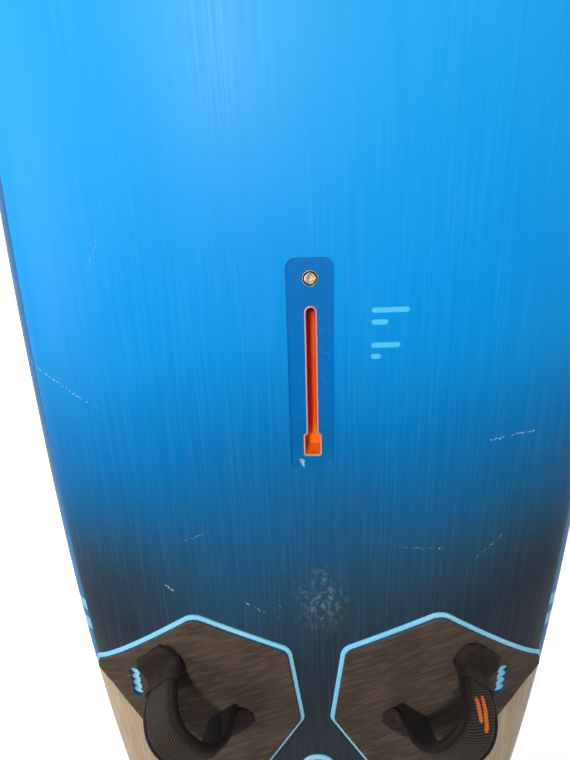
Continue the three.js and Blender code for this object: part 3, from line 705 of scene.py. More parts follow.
def deck_gradient(s, cloud):
    """Blue that darkens towards the tail, sooner at the rails, with painted light that makes it lighter
    towards port.
    """
    x, y, _ = s.split(s.place())
    # painted light: y * 0.10 moves the port side forward on the gradient, so port is painted lighter, as if
    # lit from that side
    shifted = x + s.spread(cloud, 0.3, 0.7, -0.022, 0.022) + y * 0.10
    shifted = shifted - s.spread(abs(y), 0.10, 0.31, 0, 0.13) * s.spread(x, -0.30, -0.12, 1, 0)
    first = DECK_GRADIENT[0][0]
    length = DECK_GRADIENT[-1][0] - first
    share = s.math("DIVIDE", shifted - first, length, clamp=True)
    return s.ramp(share, [((place - first) / length, tone) for place, tone in DECK_GRADIENT])


def panel_paint(s, color):
    """Flatter blue in the recess round the mast track, with faint arcs worn by a mast foot."""
    where = s.place()
    x, y, z = s.split(where)
    middle, half_length = (PANEL_FORE + PANEL_AFT) / 2, (PANEL_FORE - PANEL_AFT) / 2
    past_x = abs(x - middle) - (half_length - PANEL_RADIUS)
    past_y = abs(y) - (PANEL_HALF_WIDTH - PANEL_RADIUS)
    corner = s.vector("LENGTH", s.flat(past_x | 0.0, past_y | 0.0))
    panel = (corner < PANEL_RADIUS) * (z < PANEL_Z + 0.0004)
    tone = s.tint("#0069ab", "#0072c0", x, -0.10, 0.02)
    color = s.mix(panel * s.spread(x, PANEL_AFT, -0.07, 0.3, 1.0), color, tone)
    arcs = s.spread(s.wave(s.vector("DISTANCE", where, (0.0, 0, PANEL_Z)), 520), 0.93, 1.0)
    worn = arcs * s.spread(s.noise(s.place((40, 60, 1))), 0.52, 0.62) * panel
    return s.mix(worn * 0.14, color, "#6fb4e0")


def rail_paint(s, color):
    """The tan heel areas, and the rail's band with its pale blocks."""
    x, y, _ = s.split(s.place())
    tan_edge = (x - RAIL_BAND_AFT) * TAN_EDGE_SLOPE + TAN_EDGE
    tan = (abs(y) > tan_edge) * (x < TAN_FORE) * (abs(y) > TAN_INNERMOST)
    grain = s.noise(s.place((14, 700, 40)), detail=3)
    color = s.mix(tan, color, s.tint("#b79e82", "#d5bda2", grain))
    band = (s.rail_level() < RAIL_BAND_TOP) * (x > RAIL_BAND_AFT)
    blocks = strongest((x > low) * (x < high) for low, high in RAIL_BLOCKS)
    return s.mix(band, color, s.mix(blocks, RAIL_BLUE, "#6cc9f2"))


def printed_bars(s, color):
    start = BAR_PORT_END - BAR_HALF_HEIGHT
    bars = [s.stroke(s.place(), (place, start), (place, BAR_PORT_END - length + BAR_HALF_HEIGHT),
                     BAR_HALF_HEIGHT)
            for place, length in BAR_ROWS]
    return s.mix(strongest(bars), color, "#58cdfb")


def deck_wear(s, cloud):
    """Mask of the scratches, the scuffed patch and the hairlines."""
    jitter = s.value("ShaderNodeTexNoise", {"Vector": s.place((35, 35, 1))}, "Color")
    wander = s.scaled(s.vector("SUBTRACT", jitter, (0.5, 0.5, 0.5)), SCRATCH_WANDER)
    scratches = strongest(s.stroke(s.place(), *scratch, wander) for scratch in SCRATCHES)
    gritty = s.spread(s.noise(s.place((420, 420, 1)), detail=4), 0.40, 0.60, 0.35, 0.75)
    from_scuff = s.vector("SUBTRACT", s.place((1, 1, 0)), SCUFF_CENTRE)
    scuff_gap = s.vector("LENGTH", s.vector("MULTIPLY", from_scuff, (0.7, 1.1, 0)))
    smear = s.noise(s.place((90, 130, 1)), detail=7, rough=0.72)
    scuff = s.spread(scuff_gap, 0.0, SCUFF_R, 1, 0) * s.spread(smear, 0.45, 0.75)
    hair = s.noise(s.place((60, 1500, 1), turn=24), detail=2)
    hairline = s.spread(hair, 0.70, 0.74) * s.spread(cloud, 0.5, 0.7)
    return scratches * gritty | scuff * 0.42 | hairline * 0.10


def deck_paint():
    s = Shader("deck_paint", "#0f86cf", 0.38, Specular_IOR_Level=0.15)
    cloud = s.noise(s.place((2.2, 3.5, 1)), detail=2)
    brushed = s.noise(s.place((7, 330, 1)), detail=4)
    color = s.tint(deck_gradient(s, cloud), "#7fd0ff", brushed, 0.42, 0.75, 0.04)
    color = s.tint(color, "#083a63", s.noise(s.place((3, 90, 1)), detail=2), 0.5, 0.75, 0.06)
    color = printed_bars(s, rail_paint(s, panel_paint(s, color)))
    wear = deck_wear(s, cloud)
    s.color(s.mix(wear, color, "#cfdfe8")).rough(brushed | wear, 0.36, 0.44)
    return s.relief(brushed, 0.00003, 0.3).material


def bottom_gelcoat():
    s = Shader("bottom_gelcoat", "#e6ebee", 0.2, Coat_Weight=0.4, Coat_Roughness=0.08)
    color = s.tint("#dfe6ea", "#f0f3f4", s.noise(s.place((2, 4, 2)), detail=2))
    band = (s.rail_level() > RAIL_BAND_BOTTOM) * (s.split(s.place())[0] > RAIL_BAND_AFT)
    sanding = s.noise(s.place((600, 9, 1)), detail=4)
    s.color(s.tint(s.mix(band, color, RAIL_BLUE), "#b9c2c7", sanding, 0.6, 0.8, 0.25))
    s.rough(sanding, 0.16, 0.3)
    return s.relief(s.noise(s.place(), 90), 0.0002, 0.25).material


def bead_foam(name, low, high, scale):
    s = Shader(name, low, 0.9)
    bead = s.value("ShaderNodeTexVoronoi", {"Vector": s.place(), "Scale": scale}, "Distance")
    s.color(s.tint(high, low, bead, 0.1, 0.7))
    return s.relief(bead, 0.0012, 0.6).material


def moulded(name, low, high, smoothest, dullest, pale_rim=False):
    """Moulded plastic or rubber: fine texture, faint flow marks. pale_rim is for the vent's flange."""
    s = Shader(name, low, smoothest)
    color = s.tint(low, high, s.noise(s.place((20, 60, 20)), detail=3))
    if pale_rim:
        pale = s.vector("DISTANCE", s.place((1, 1, 0)), (VENT_X, 0, 0)) > VENT_RIM_R
        color = s.mix(pale, color, "#a9b4ba")
    s.color(color).rough(s.noise(s.place(), 900), smoothest, dullest)
    return s.relief(s.noise(s.place(), 2600, detail=2), 0.00006, 0.5).material


def track_plastic():
    """Orange plastic, with painted light that makes the entry lighter and yellower, and a pale painted
    highlight on the top of the lip.
    """
    s = Shader("track_plastic", "#f4561a", 0.36)
    x, _, z = s.split(s.place())
    # painted light: the entry, aft of about x = -0.06, is coloured lighter and yellower, as if more lit
    past_entry = s.spread(x, -0.068, -0.056)
    flow = s.noise(s.place((25, 120, 60)), detail=3)
    color = s.mix(past_entry, "#ff8a12", s.tint("#ff5208", "#ff6a14", flow))
    # painted highlight: the top of the lip is coloured pale, warmer at the entry
    lip = s.mix(past_entry, "#d8a487", "#b9a5c6")
    s.color(s.tint(color, lip, z, RIM_TOP - 0.0006, RIM_TOP - 0.0001)).rough(flow, 0.3, 0.45)
    return s.relief(s.noise(s.place(), 1800, detail=2), 0.00006, 0.5).material


def metal(name, low, high, roughness):
    """Turned metal with a faint tarnish."""
    s = Shader(name, low, roughness, Metallic=1.0)
    s.color(s.tint(low, high, s.noise(s.place(), 140, detail=3)))
    s.rough(s.noise(s.place((300, 300, 4000)), detail=3), roughness - 0.1, roughness + 0.15)
    return s.relief(s.noise(s.place((500, 500, 6000)), detail=2), 0.00002, 0.2).material


def fin_laminate():
    s = Shader("fin_laminate", "#16191d", 0.22, Coat_Weight=0.5, Coat_Roughness=0.08)
    x, _, z = s.split(s.place())
    weave = s.wave(x + z, 2400) * s.wave(x - z, 2400)
    streak = s.noise(s.place((300, 1, 12)), detail=4)
    color = s.tint("#101215", "#24282e", weave, -0.4, 0.6)
    s.color(s.tint(color, "#3c434c", streak, 0.55, 0.8, 0.3)).rough(streak, 0.16, 0.32)
    return s.relief(weave, 0.00005, 0.25).material


def slanting_grooves(s, color):
    """Fine slanting lines on top, and painted shade in dark blue on the side walls."""
    ridge = s.noise(s.place((150, 24, 30), turn=-22), detail=2)
    groove = s.noise(s.place((330, 38, 40), turn=-22), detail=3)
    s.relief(ridge, 0.0016, 0.7).relief(groove, 0.0008, 0.6)
    color = s.tint(color, "#352b25", groove, 0.35, 0.62, 0.35)
    color = s.tint(color, "#6d5d50", ridge, 0.45, 0.68, 0.4)
    # painted shade: faces turned less than 0.45 upwards, which are the side walls, are coloured dark blue
    upward = s.split(s.value("ShaderNodeTexCoord", (), "Normal"))[2]
    return s.mix(upward < 0.45, color, "#1d5878")


def window_discs(s, color):
    """A row of discs under each scalloped window, with painted shade in dark blue between them."""
    x, y, _ = s.split(s.place())
    along = x - SPARE_INSERT[0]
    across = abs(y) - float(over_deck(*SPARE_INSERT, PAD_BASE_TOP)[1])
    reach = WINDOW_R + 0.001
    window = (abs(along) - HOLE_OFFSET < reach) * (abs(across) < reach)
    discs = [s.vector("LENGTH", s.flat((along - shift) / 0.0064, across / 0.0080)) < 1.0
             for shift in HOLE_SHIFTS]
    # painted shade: dark blue between the discs, where the window's cusps meet
    between = s.math("SUBTRACT", window, strongest(discs), clamp=True)
    return s.mix(between, color, "#17465e")


def eva(name, low, high, pattern):
    """Closed-cell foam sheet with a pattern on it."""
    s = Shader(name, low, 0.85, Specular_IOR_Level=0.25)
    cell = s.noise(s.place(), 1500, detail=3)
    tone = s.noise(s.place((9, 14, 9)), detail=3)
    s.color(pattern(s, s.tint(low, high, tone, 0.3, 0.7))).rough(cell, 0.72, 0.95)
    return s.relief(cell, 0.0003, 0.5).material


def knit(name, low, high):
    """Smooth neoprene with a fine jersey face."""
    s = Shader(name, low, 0.72, Specular_IOR_Level=0.25, Sheen_Weight=0.05)
    u, v, _ = s.split(s.cloth())
    fuzz = s.noise(s.place(), 420, detail=4)
    s.color(s.tint(low, high, fuzz, 0.3, 0.75)).rough(fuzz, 0.6, 0.85)
    s.relief(s.noise(s.place(), 45, detail=2), 0.0012, 0.35)
    return s.relief(s.wave(u, 5200) * s.wave(v, 5200), 0.00012, 0.4).material


RIB_PITCH = 0.0030
MARK_ALONG = 0.053  # middle of the printed mark, from the top of the loop
MARK_HALF_WIDTH = 0.0047
MARK_STROKES = ((0.014, 0.0), (0.008, -0.012))  # half length, place across the band


def ribbed_fabric(name, printed):
    """Coarse sleeve with slanting ribs; printed is 1 or -1 for a mark on the inner or outer leg, or 0."""
    s = Shader(name, "#2b2622", 0.85, Specular_IOR_Level=0.25, Sheen_Weight=0.06)
    flat = s.cloth()
    u, v, _ = s.split(flat)
    slant = u * 0.92 + v * 0.38 + s.noise(flat, 60, detail=1) * 0.0012
    rib = s.wave(slant, 2 * math.pi / RIB_PITCH)
    fuzz = s.noise(flat, 1100, detail=3)
    color = s.tint(s.tint("#1a140f", "#473a2f", rib, -0.5, 0.9), "#6b5947", fuzz, 0.5, 0.75, 0.2)
    if printed:
        strokes = [s.stroke(flat, (printed * (MARK_ALONG - reach), across + 0.006),
                            (printed * (MARK_ALONG + reach), across - 0.002), MARK_HALF_WIDTH)
                   for reach, across in MARK_STROKES]
        color = s.mix(strongest(strokes) * s.spread(rib, -0.95, -0.4, 0.75, 1.0), color, "#ff7a26")
    s.color(color).rough(fuzz, 0.7, 0.95)
    return s.relief(rib, 0.0007, 0.8).relief(fuzz, 0.0002, 0.5).material


def belt_weave():
    s = Shader("belt_weave", "#17181b", 0.7, Sheen_Weight=0.3)
    u, v, _ = s.split(s.cloth())
    weave = s.wave(v, 4200) * s.wave(u, 3000)
    s.color(s.tint("#0f1012", "#2a2c30", weave, -0.6, 0.6))
    return s.relief(weave, 0.0004, 0.8).material


def sewing_thread():
    s = Shader("sewing_thread", "#2a2521", 0.6, Sheen_Weight=0.1)
    twist = s.noise(s.place(), 3500, detail=2)
    s.color(s.tint("#221d1a", "#3d3630", twist))
    return s.relief(twist, 0.0001, 0.7).material


# a finish is a material and its slot
DECK = deck_paint(), "deck_blue"
BOTTOM = bottom_gelcoat(), "bottom_white"
TRACK = track_plastic(), "track_orange"
BLACK = moulded("black_moulding", "#101113", "#1c1d20", 0.37, 0.55), "black_plastic"
VENT_BLACK = moulded("vent_moulding", "#07090b", "#15191c", 0.26, 0.42, pale_rim=True), "black_plastic"
RUBBER = moulded("seal_rubber_face", "#0f0f10", "#1b1b1c", 0.62, 0.80), "seal_rubber"
BRASS = metal("vent_brass", "#e0be9a", "#f4dfc6", 0.36), "brass"
STEEL = metal("bolt_steel", "#a9adb1", "#c9cccf", 0.3), "steel"
FIN = fin_laminate(), "fin_gloss"
PAD_DARK = eva("pad_eva_dark", "#4a3d34", "#5b4d42", slanting_grooves), "pad_dark"
PAD_CYAN = eva("pad_eva_cyan", "#8adcff", "#a2e6ff", window_discs), "pad_cyan"
NEOPRENE = knit("neoprene_cover", "#1d1410", "#2e211c"), "neoprene"
LINING = knit("neoprene_lining", "#130b0a", "#211614"), "neoprene"
SLEEVES = {
    "front_left": (ribbed_fabric("ribbed_sleeve_left", 1), "neoprene"),
    "front_right": (ribbed_fabric("ribbed_sleeve_right", -1), "neoprene"),
    "rear": (ribbed_fabric("ribbed_sleeve_rear", 0), "neoprene"),
}
BELT = belt_weave(), "webbing"
THREAD = sewing_thread(), "webbing"


# ---------- hull ----------

HULL_STATIONS = 190
ACROSS = 96


def crowded(count, pull):
    """0 to 1 in count steps that crowd towards both ends."""
    t = np.linspace(0, 1, count + 1)
    return t - pull * np.sin(2 * math.pi * t) / (2 * math.pi)


def inset_size(size, inset):
    """size less inset, but at least a quarter of size."""
    return np.maximum(size - inset, 0.25 * size)


def deck_section(x, inset, angles):
    """Deck half of a section, from the port rail's widest line to the starboard one."""
    rise = inset_size((1 - rail_share(x)) * thickness(x) * end_fill(x), inset)
    y = inset_size(half_width(x), inset) * signed_power(np.cos(angles), 2 / DECK_CROWN)
    z = rail_height(x) + rise * np.abs(np.sin(angles)) ** (2 / DECK_CROWN)
    return np.column_stack([np.full_like(y, x), y, z])


def bottom_section(x, inset, angles):
    """Port chine of a section, from the rail's widest line to the edge of the flat."""
    drop = inset_size(rail_share(x) * thickness(x) * end_fill(x), inset)
    across = BOTTOM_FLAT + (1 - BOTTOM_FLAT) * np.abs(np.cos(angles)) ** (2 / CHINE_ROUND)
    y = inset_size(half_width(x), inset) * across
    z = rail_height(x) - drop * np.abs(np.sin(angles)) ** (2 / CHINE_ROUND)
    return np.column_stack([np.full_like(y, x), y, z])


def deck_rows(stations, inset):
    """Sections whose points are evenly spaced, closer together at the rails."""
    dense = np.linspace(0, math.pi, 1500)
    length = distances(deck_section(0.0, 0, dense)[:, 1:])
    angles = np.interp(crowded(ACROSS, 0.8) * length[-1], length, dense)
    rows = np.array([deck_section(x, inset, angles) for x in stations])
    rows[:, [0, -1], 2] += GAP / 2
    return rows


def bottom_rows(stations, inset):
    flat = np.linspace(BOTTOM_FLAT, -BOTTOM_FLAT, ACROSS // 2 + 1)[1:-1]
    curve = (math.pi / 2) * np.linspace(0, 1, ACROSS // 4) ** 1.2
    rows = []
    for x in stations:
        port = bottom_section(x, inset, curve)
        floor = np.tile(port[-1], (len(flat), 1))
        floor[:, 1] = port[-1][1] / BOTTOM_FLAT * flat
        rows.append(np.vstack([port, floor, port[::-1] * (1, -1, 1)]))
    rows = np.array(rows)
    rows[:, [0, -1], 2] -= GAP / 2
    return rows


def add_rail_level(obj):
    """Height over the rail's widest line, as a share of the deck's rise there, for the paint."""
    points = np.array([vertex.co for vertex in obj.data.vertices], float)
    x = points[:, 0]
    level = (points[:, 2] - rail_height(x)) / ((1 - rail_share(x)) * thickness(x))
    obj.data.attributes.new("rail_level", "FLOAT", "POINT").data.foreach_set("value", level)


def insert_spots():
    """Name, x and y of the middle of each row of strap screw holes."""
    spots = []
    for side, sign in SIDES:
        for tag, (x, y) in zip(("outer", "inner"), FRONT_ANCHORS):
            spots.append((f"front_{side}_insert_{tag}", x - HOLE_OFFSET, y * sign))
        spots.append((f"front_{side}_insert_spare", SPARE_INSERT[0], SPARE_INSERT[1] * sign))
    for (side, _), (x, y) in zip(SIDES, REAR_ANCHORS):
        spots.append((f"rear_insert_{side}", x - HOLE_OFFSET, y))
    return spots


def insert_outline(margin=0.0):
    half_length, half_across = INSERT_HALF_LENGTH + margin, INSERT_HALF_WIDTH + margin
    return slab(-half_length, half_length, half_across, half_across * 0.999, 14)


def fin_outline(margin, radius, steps=10):
    """Outline round the fin's head."""
    half = FIN_HEAD_LENGTH / 2 + margin
    return slab(FIN_X - half, FIN_X + half, FIN_HEAD_WIDTH / 2 + margin, radius, steps)


def keyhole(margin):
    """Outline of the slot and its wide entry; margin grows it from the outside of the lip."""
    neck, wide = SLOT_HALF_WIDTH + RIM + margin, ENTRY_HALF_WIDTH + margin
    fore, aft, step = SLOT_FORE + margin, SLOT_AFT - margin, SLOT_AFT + ENTRY_LENGTH + margin
    port = [(fore, neck, neck * 0.999), (step, neck, 0.0012), (step, wide, ENTRY_RADIUS + margin),
            (aft, wide, ENTRY_RADIUS + margin)]
    starboard = mirrored(port)
    return rounded(starboard[-1:] + port + starboard[:-1], 10)


def build_hull():
    stations = TAIL_X + (NOSE_X - TAIL_X) * crowded(HULL_STATIONS, 0.985)[1:-1]
    deck = make("deck_shell", *closed_sheet(deck_rows(stations, 0), deck_rows(stations, SKIN)))
    recess = slab(PANEL_AFT, PANEL_FORE, PANEL_HALF_WIDTH, PANEL_RADIUS, 12)
    cutters = [stack("cut", recess, [(0.0, PANEL_Z), (-0.0009, PANEL_Z + 0.0012), (-0.0016, PANEL_Z + 0.01)])]
    cutters.append(drill(BOSS_R + GAP, 0.05, 0.09, FIN_X))
    cutters += [stack("cut", insert_outline(GAP), [(0, -INSERT_DEPTH), (0, 0.012)], insert_frame(x, y))
                for _, x, y in insert_spots()]
    slot = stack("cut", keyhole(GAP), [(0, 0.11), (0, 0.135)])
    boolean(deck, [joined(cutters), joined([slot, drill(VENT_FLANGE_R + GAP, 0.11, 0.135, VENT_X)])])
    add_rail_level(deck)
    piece(deck, DECK, "deck_skin", sharp=32)

    bottom = make("bottom_shell", *closed_sheet(bottom_rows(stations, 0), bottom_rows(stations, SKIN)))
    boolean(bottom, [stack("cut", fin_outline(FIN_BOX_WALL + GAP, 0.008, 8), [(0, -0.02), (0, 0.03)])])
    add_rail_level(bottom)
    piece(bottom, BOTTOM, "bottom_skin", sharp=40)


# ---------- mast track and vent ----------

def build_track():
    outline = slab(SLOT_AFT - TRACK_END_WALL, SLOT_FORE + TRACK_END_WALL, TRACK_BODY_HALF_WIDTH, 0.006)
    body = stack("mast_track", outline, bevelled(TRACK_BODY_BOTTOM, TRACK_BODY_TOP, 0.0008, 0.0008))
    tee_outline = slab(SLOT_AFT + RIM, SLOT_FORE - RIM, TEE_HALF_WIDTH, 0.002)
    tee = stack("tee", tee_outline, [(0, TEE_BOTTOM), (0, TEE_TOP)])
    boolean(body, [tee, stack("slot", keyhole(-RIM), [(0, TEE_TOP - 0.001), (0, RIM_TOP)])])

    # the lip is a ring of its own that stands on the body, so that no flat face has to reach round the slot
    foot = TRACK_BODY_TOP - 0.001
    outer = [(0, foot), (0, RIM_TOP - 0.0005), (0.00015, RIM_TOP - 0.0002), (0.0005, RIM_TOP)]
    inner = [(-0.0006, RIM_TOP), (-0.0002, RIM_TOP - 0.0003), (0, RIM_TOP - 0.0008), (0, foot)]
    rings = [ring_at(keyhole(margin), *level) for margin, levels in ((0, outer), (-RIM, inner))
             for level in levels]
    lip = make("lip", *loft(rings + rings[:1], caps=False))
    piece(joined([body, lip]), TRACK, "mast_track_box")


def build_vent():
    here = at(VENT_X, 0)
    inner, barrel, outer, seat = VENT_BORE_R, VENT_BARREL_R, VENT_FLANGE_R, VENT_SEAT_Z
    lip, top = VENT_HEAD_R + 0.0004, PANEL_Z + 0.0005
    collar = lathe("vent_collar", [
        (inner, VENT_BOTTOM), (barrel, VENT_BOTTOM), (barrel, 0.118), (outer, 0.118), (outer, top - 0.0004),
        (outer - 0.0002, top - 0.0001), (outer - 0.0005, top), (lip + 0.0004, top),
        (lip + 0.0001, top - 0.0002), (lip, top - 0.0005), (lip, seat), (inner, seat), (inner, VENT_BOTTOM),
    ], here)
    piece(collar, VENT_BLACK, "vent_housing")

    head, rim = seat + 0.0017, VENT_HEAD_R
    plug = lathe("vent_plug", [
        (0, 0.103), (0.0024, 0.103), (0.003, 0.104), (0.003, head), (rim - 0.0003, head),
        (rim, head + 0.0003), (rim, head + 0.002), (rim - 0.0002, head + 0.0025),
        (rim - 0.0007, head + 0.0028), (0.0036, head + 0.0028), (0.0033, head + 0.0026), (0, head + 0.0026),
    ], here)
    socket = [(0, head + 0.0006), (0, head + 0.0022), (-0.0004, head + 0.004)]
    boolean(plug, [stack("socket", circle(HEX_R, VENT_X, 6), socket)])
    piece(plug, BRASS, "vent_screw", body="vent_screw", sharp=30)

    ring = [(SEAL_RING_R + SEAL_CORD_R * math.cos(a), seat + GAP + SEAL_CORD_R + SEAL_CORD_R * math.sin(a))
            for a in np.linspace(0, 2 * math.pi, 21)]
    piece(lathe("vent_seal_ring", ring, here), RUBBER, "vent_o_ring", body="vent_seal")


# ---------- fin ----------

BOSS_TOP = float(deck_height(np.array(FIN_X), np.array(0.0))) - 0.0008
WASHER_Z = BOSS_TOP - 0.0056


def foil_section(depth):
    """Symmetric aerofoil outline at a depth under the hull, leading edge forward."""
    share = max(depth, 0) / FIN_DEPTH
    chord = FIN_ROOT_CHORD + (FIN_TIP_CHORD - FIN_ROOT_CHORD) * share**1.5
    middle = FIN_X - 0.006 - FIN_RAKE * share**1.7
    tip = math.sqrt(max(1 - share**12, 0.02))
    half = FIN_ROOT_THICKNESS / 2 * (1 - 0.72 * share) * tip
    along = (1 - np.cos(np.linspace(0, math.pi, 26))) / 2
    bulge = half * (2.6 * np.sqrt(along) * (1 - along) + 0.12 * (1 - along) * along)
    bulge[1:] = np.maximum(bulge[1:], 0.0003)
    x = middle + chord * (0.5 - along)
    port = np.column_stack([x, bulge, np.full_like(x, -depth)])
    return np.vstack([port, (port * (1, -1, 1))[1:][::-1]])


def build_fin():
    depths = np.concatenate([[-0.002, 0.0], np.linspace(0.012, 0.34, 26),
                             FIN_DEPTH - 0.032 * (1 - np.sin(np.linspace(0.1, math.pi / 2, 9)))])
    blade = make("blade", *loft([foil_section(d) for d in depths]))
    fin = stack("fin_blade", fin_outline(0, 0.0048), bevelled(0.0002, FIN_HEAD_HEIGHT, 0.0006, 0.001))
    boolean(fin, [blade], "UNION")
    bolt_hole_r = BOLT_R + BOLT_CLEARANCE
    across = np.array([[1, 0, 0, FIN_X], [0, 0, 1, 0], [0, -1, 0, BARREL_NUT_Z], [0, 0, 0, 1.0]])
    boolean(fin, [drill(BARREL_NUT_R + GAP, -0.03, 0.03, matrix=across),
                  drill(bolt_hole_r, BARREL_NUT_Z - 0.014, 0.06, FIN_X)])
    piece(fin, FIN, "fin", sharp=30)

    nut_end = FIN_HEAD_WIDTH / 2 - 0.001
    nut = stack("fin_cross_nut", circle(BARREL_NUT_R), bevelled(-nut_end, nut_end, 0.0005, 0.0005), across)
    boolean(nut, [drill(BOLT_R + GAP, 0, 0.06, FIN_X)])
    piece(nut, BRASS, "fin_barrel_nut")

    case = stack("fin_case", fin_outline(FIN_BOX_WALL, 0.008), bevelled(0.0004, FIN_BOX_TOP, 0.0006, 0.001))
    boolean(case, [stack("boss", circle(BOSS_R, FIN_X), [
        (0, FIN_BOX_TOP - 0.001), (0, BOSS_TOP - 0.0006), (0.0002, BOSS_TOP - 0.0002), (0.0006, BOSS_TOP),
    ])], "UNION")
    recess = [(0, WASHER_Z - GAP), (0, BOSS_TOP - 0.0006), (-0.0006, BOSS_TOP), (-0.0006, BOSS_TOP + 0.005)]
    boolean(case, [
        stack("cut", fin_outline(GAP, 0.005), [(0, -0.005), (0, FIN_HEAD_HEIGHT + GAP)]),
        drill(bolt_hole_r, 0.04, BOSS_TOP + 0.005, FIN_X),
        stack("cut", circle(BOSS_RECESS_R, FIN_X), recess),
    ])
    piece(case, BLACK, "fin_box")

    here = at(FIN_X, 0)
    hole, rim, top = BOLT_R + GAP, WASHER_R, WASHER_Z + WASHER_THICKNESS
    washer = [(hole, WASHER_Z), (rim - 0.0002, WASHER_Z), (rim, WASHER_Z + 0.0002), (rim, top - 0.0003),
              (rim - 0.0003, top), (hole, top), (hole, WASHER_Z)]
    piece(lathe("fin_bolt_washer", washer, here), STEEL, "fin_washer", sharp=30)
    seat, tip = top + GAP, BARREL_NUT_Z - 0.009
    bolt = lathe("fin_bolt_body", [
        (0, tip), (BOLT_R - 0.0006, tip), (BOLT_R, tip + 0.0006), (BOLT_R, seat), (BOLT_HEAD_R, seat),
        (BOLT_HEAD_R, seat + 0.0027), (BOLT_HEAD_R - 0.0005, seat + 0.0032), (0, seat + 0.0032),
    ], here)
    boolean(bolt, [drill(HEX_R, seat + 0.0012, seat + 0.005, FIN_X, sides=6)])
    piece(bolt, STEEL, "fin_bolt", sharp=30)


# ---------- inserts and pads ----------

PAD_SPACING = 0.006
PAD_GRID = 0.011


def build_inserts():
    hole = [(0, -INSERT_DEPTH + 0.004), (0, -0.0005), (-0.0005, 0), (-0.0005, 0.002)]
    for name, x, y in insert_spots():
        here = insert_frame(x, y)
        bar = stack(f"{name}_bar", insert_outline(), bevelled(-INSERT_DEPTH, 0, 0.001, 0.0006), here)
        boolean(bar, [joined([stack("cut", circle(HOLE_R, shift, 28), hole, here) for shift in HOLE_SHIFTS])])
        piece(bar, BLACK, name)


def inside(points, outline):
    """Even-odd test of points against a closed outline."""
    result = np.zeros(len(points), bool)
    for a, b in zip(outline, np.roll(outline, -1, axis=0)):
        crosses = (a[1] > points[:, 1]) != (b[1] > points[:, 1])
        at_y = a[0] + (points[:, 1] - a[1]) * (b[0] - a[0]) / (b[1] - a[1] + 1e-15)
        result ^= crosses & (points[:, 0] < at_y)
    return result


def filled(outline):
    """Points and triangles that fill an outline; the outline's own points come first."""
    low, high = outline.min(0), outline.max(0)
    xs, ys = np.meshgrid(np.arange(low[0], high[0], PAD_GRID), np.arange(low[1], high[1], PAD_GRID))
    grid = np.column_stack([xs.ravel(), ys.ravel()])
    grid = grid[inside(grid, outline)]
    gaps = np.array([np.min(np.linalg.norm(outline - point, axis=1)) for point in grid])
    points = np.vstack([outline, grid[gaps > PAD_GRID * 0.45]])
    edges = [(i, (i + 1) % len(outline)) for i in range(len(outline))]
    faces, originals = delaunay_2d_cdt([Vector(p) for p in points], edges, [], 1, 1e-7)[2:4]
    return points, [tuple(originals[i][0] for i in face) for face in faces]


def pad_layer(name, corners, low, high, edge):
    """A foam sheet on the deck between two lifts, with a rounded top edge."""
    outline = resampled(rounded(corners, 10), PAD_SPACING)
    count = len(outline)
    levels = [(0.0, low), (0.0, high - edge)]
    levels += [(edge * (1 - math.cos(a)), high - edge + edge * math.sin(a))
               for a in np.linspace(0, math.pi / 2, 5)[1:]]
    verts, faces = loft([over_deck(*shrunk(outline, inset).T, lift) for inset, lift in levels], caps=False)
    for ring_start, inset, lift in ((0, 0.0, low), ((len(levels) - 1) * count, edge, high)):
        points, triangles = filled(shrunk(outline, inset))
        first_extra = len(verts)
        verts = np.vstack([verts, over_deck(*points[count:].T, lift)])
        faces += [tuple(ring_start + i if i < count else first_extra + i - count for i in triangle)
                  for triangle in triangles]
    return make(name, verts, faces)


def scallops(steps=12):
    """Outline of a row of overlapping circles."""
    reach = math.acos(HOLE_PITCH / 2 / WINDOW_R)
    points = []
    for side in (1, -1):
        for i, centre in enumerate(HOLE_SHIFTS):
            start = math.pi + (reach if i > 0 else 0)
            end = 2 * math.pi - (reach if i < HOLE_COUNT - 1 else 0)
            for angle in np.linspace(start, end, steps, endpoint=i < HOLE_COUNT - 1):
                x, y = centre + WINDOW_R * math.cos(angle), WINDOW_R * math.sin(angle)
                points.append((x * side, y * side))
    return np.array(points)


def build_pad(name, corners, rail_sides, anchors, spare):
    border = [PAD_RAIL_BORDER if i in rail_sides else PAD_BORDER for i in range(len(corners))]
    base = pad_layer(f"{name}_pad_lower", corners, GAP, PAD_BASE_TOP, 0.0014)
    top = pad_layer(f"{name}_pad_upper", inset_corners(corners, border), PAD_BASE_TOP + GAP, PAD_TOP, 0.0018)
    cuts = [[drill(SCREW_R + GAP + 0.0002, -PAD_TOP - 0.002, 0.02, sides=20,
                   matrix=screw_frame(x, y, over_deck(x, y + 0.1, PAD_TOP))) for x, y in anchors]
            for _ in range(2)]
    if spare:
        here = insert_frame(*spare)
        dimple = [(0.0004, INSERT_SINK + PAD_BASE_TOP - 0.0005), (0, 0.03)]
        cuts[0] += [stack("cut", circle(DIMPLE_R, shift, 20), dimple, here) for shift in HOLE_SHIFTS]
        cuts[1].append(stack("cut", scallops(), [(0, -0.002), (0, 0.03)], here))
    boolean(base, [joined(cuts[0])])
    boolean(top, [joined(cuts[1])])
    piece(base, PAD_CYAN, f"{name}_pad_base", sharp=45)
    piece(top, PAD_DARK, f"{name}_pad_top", sharp=45)


# ---------- foot straps ----------

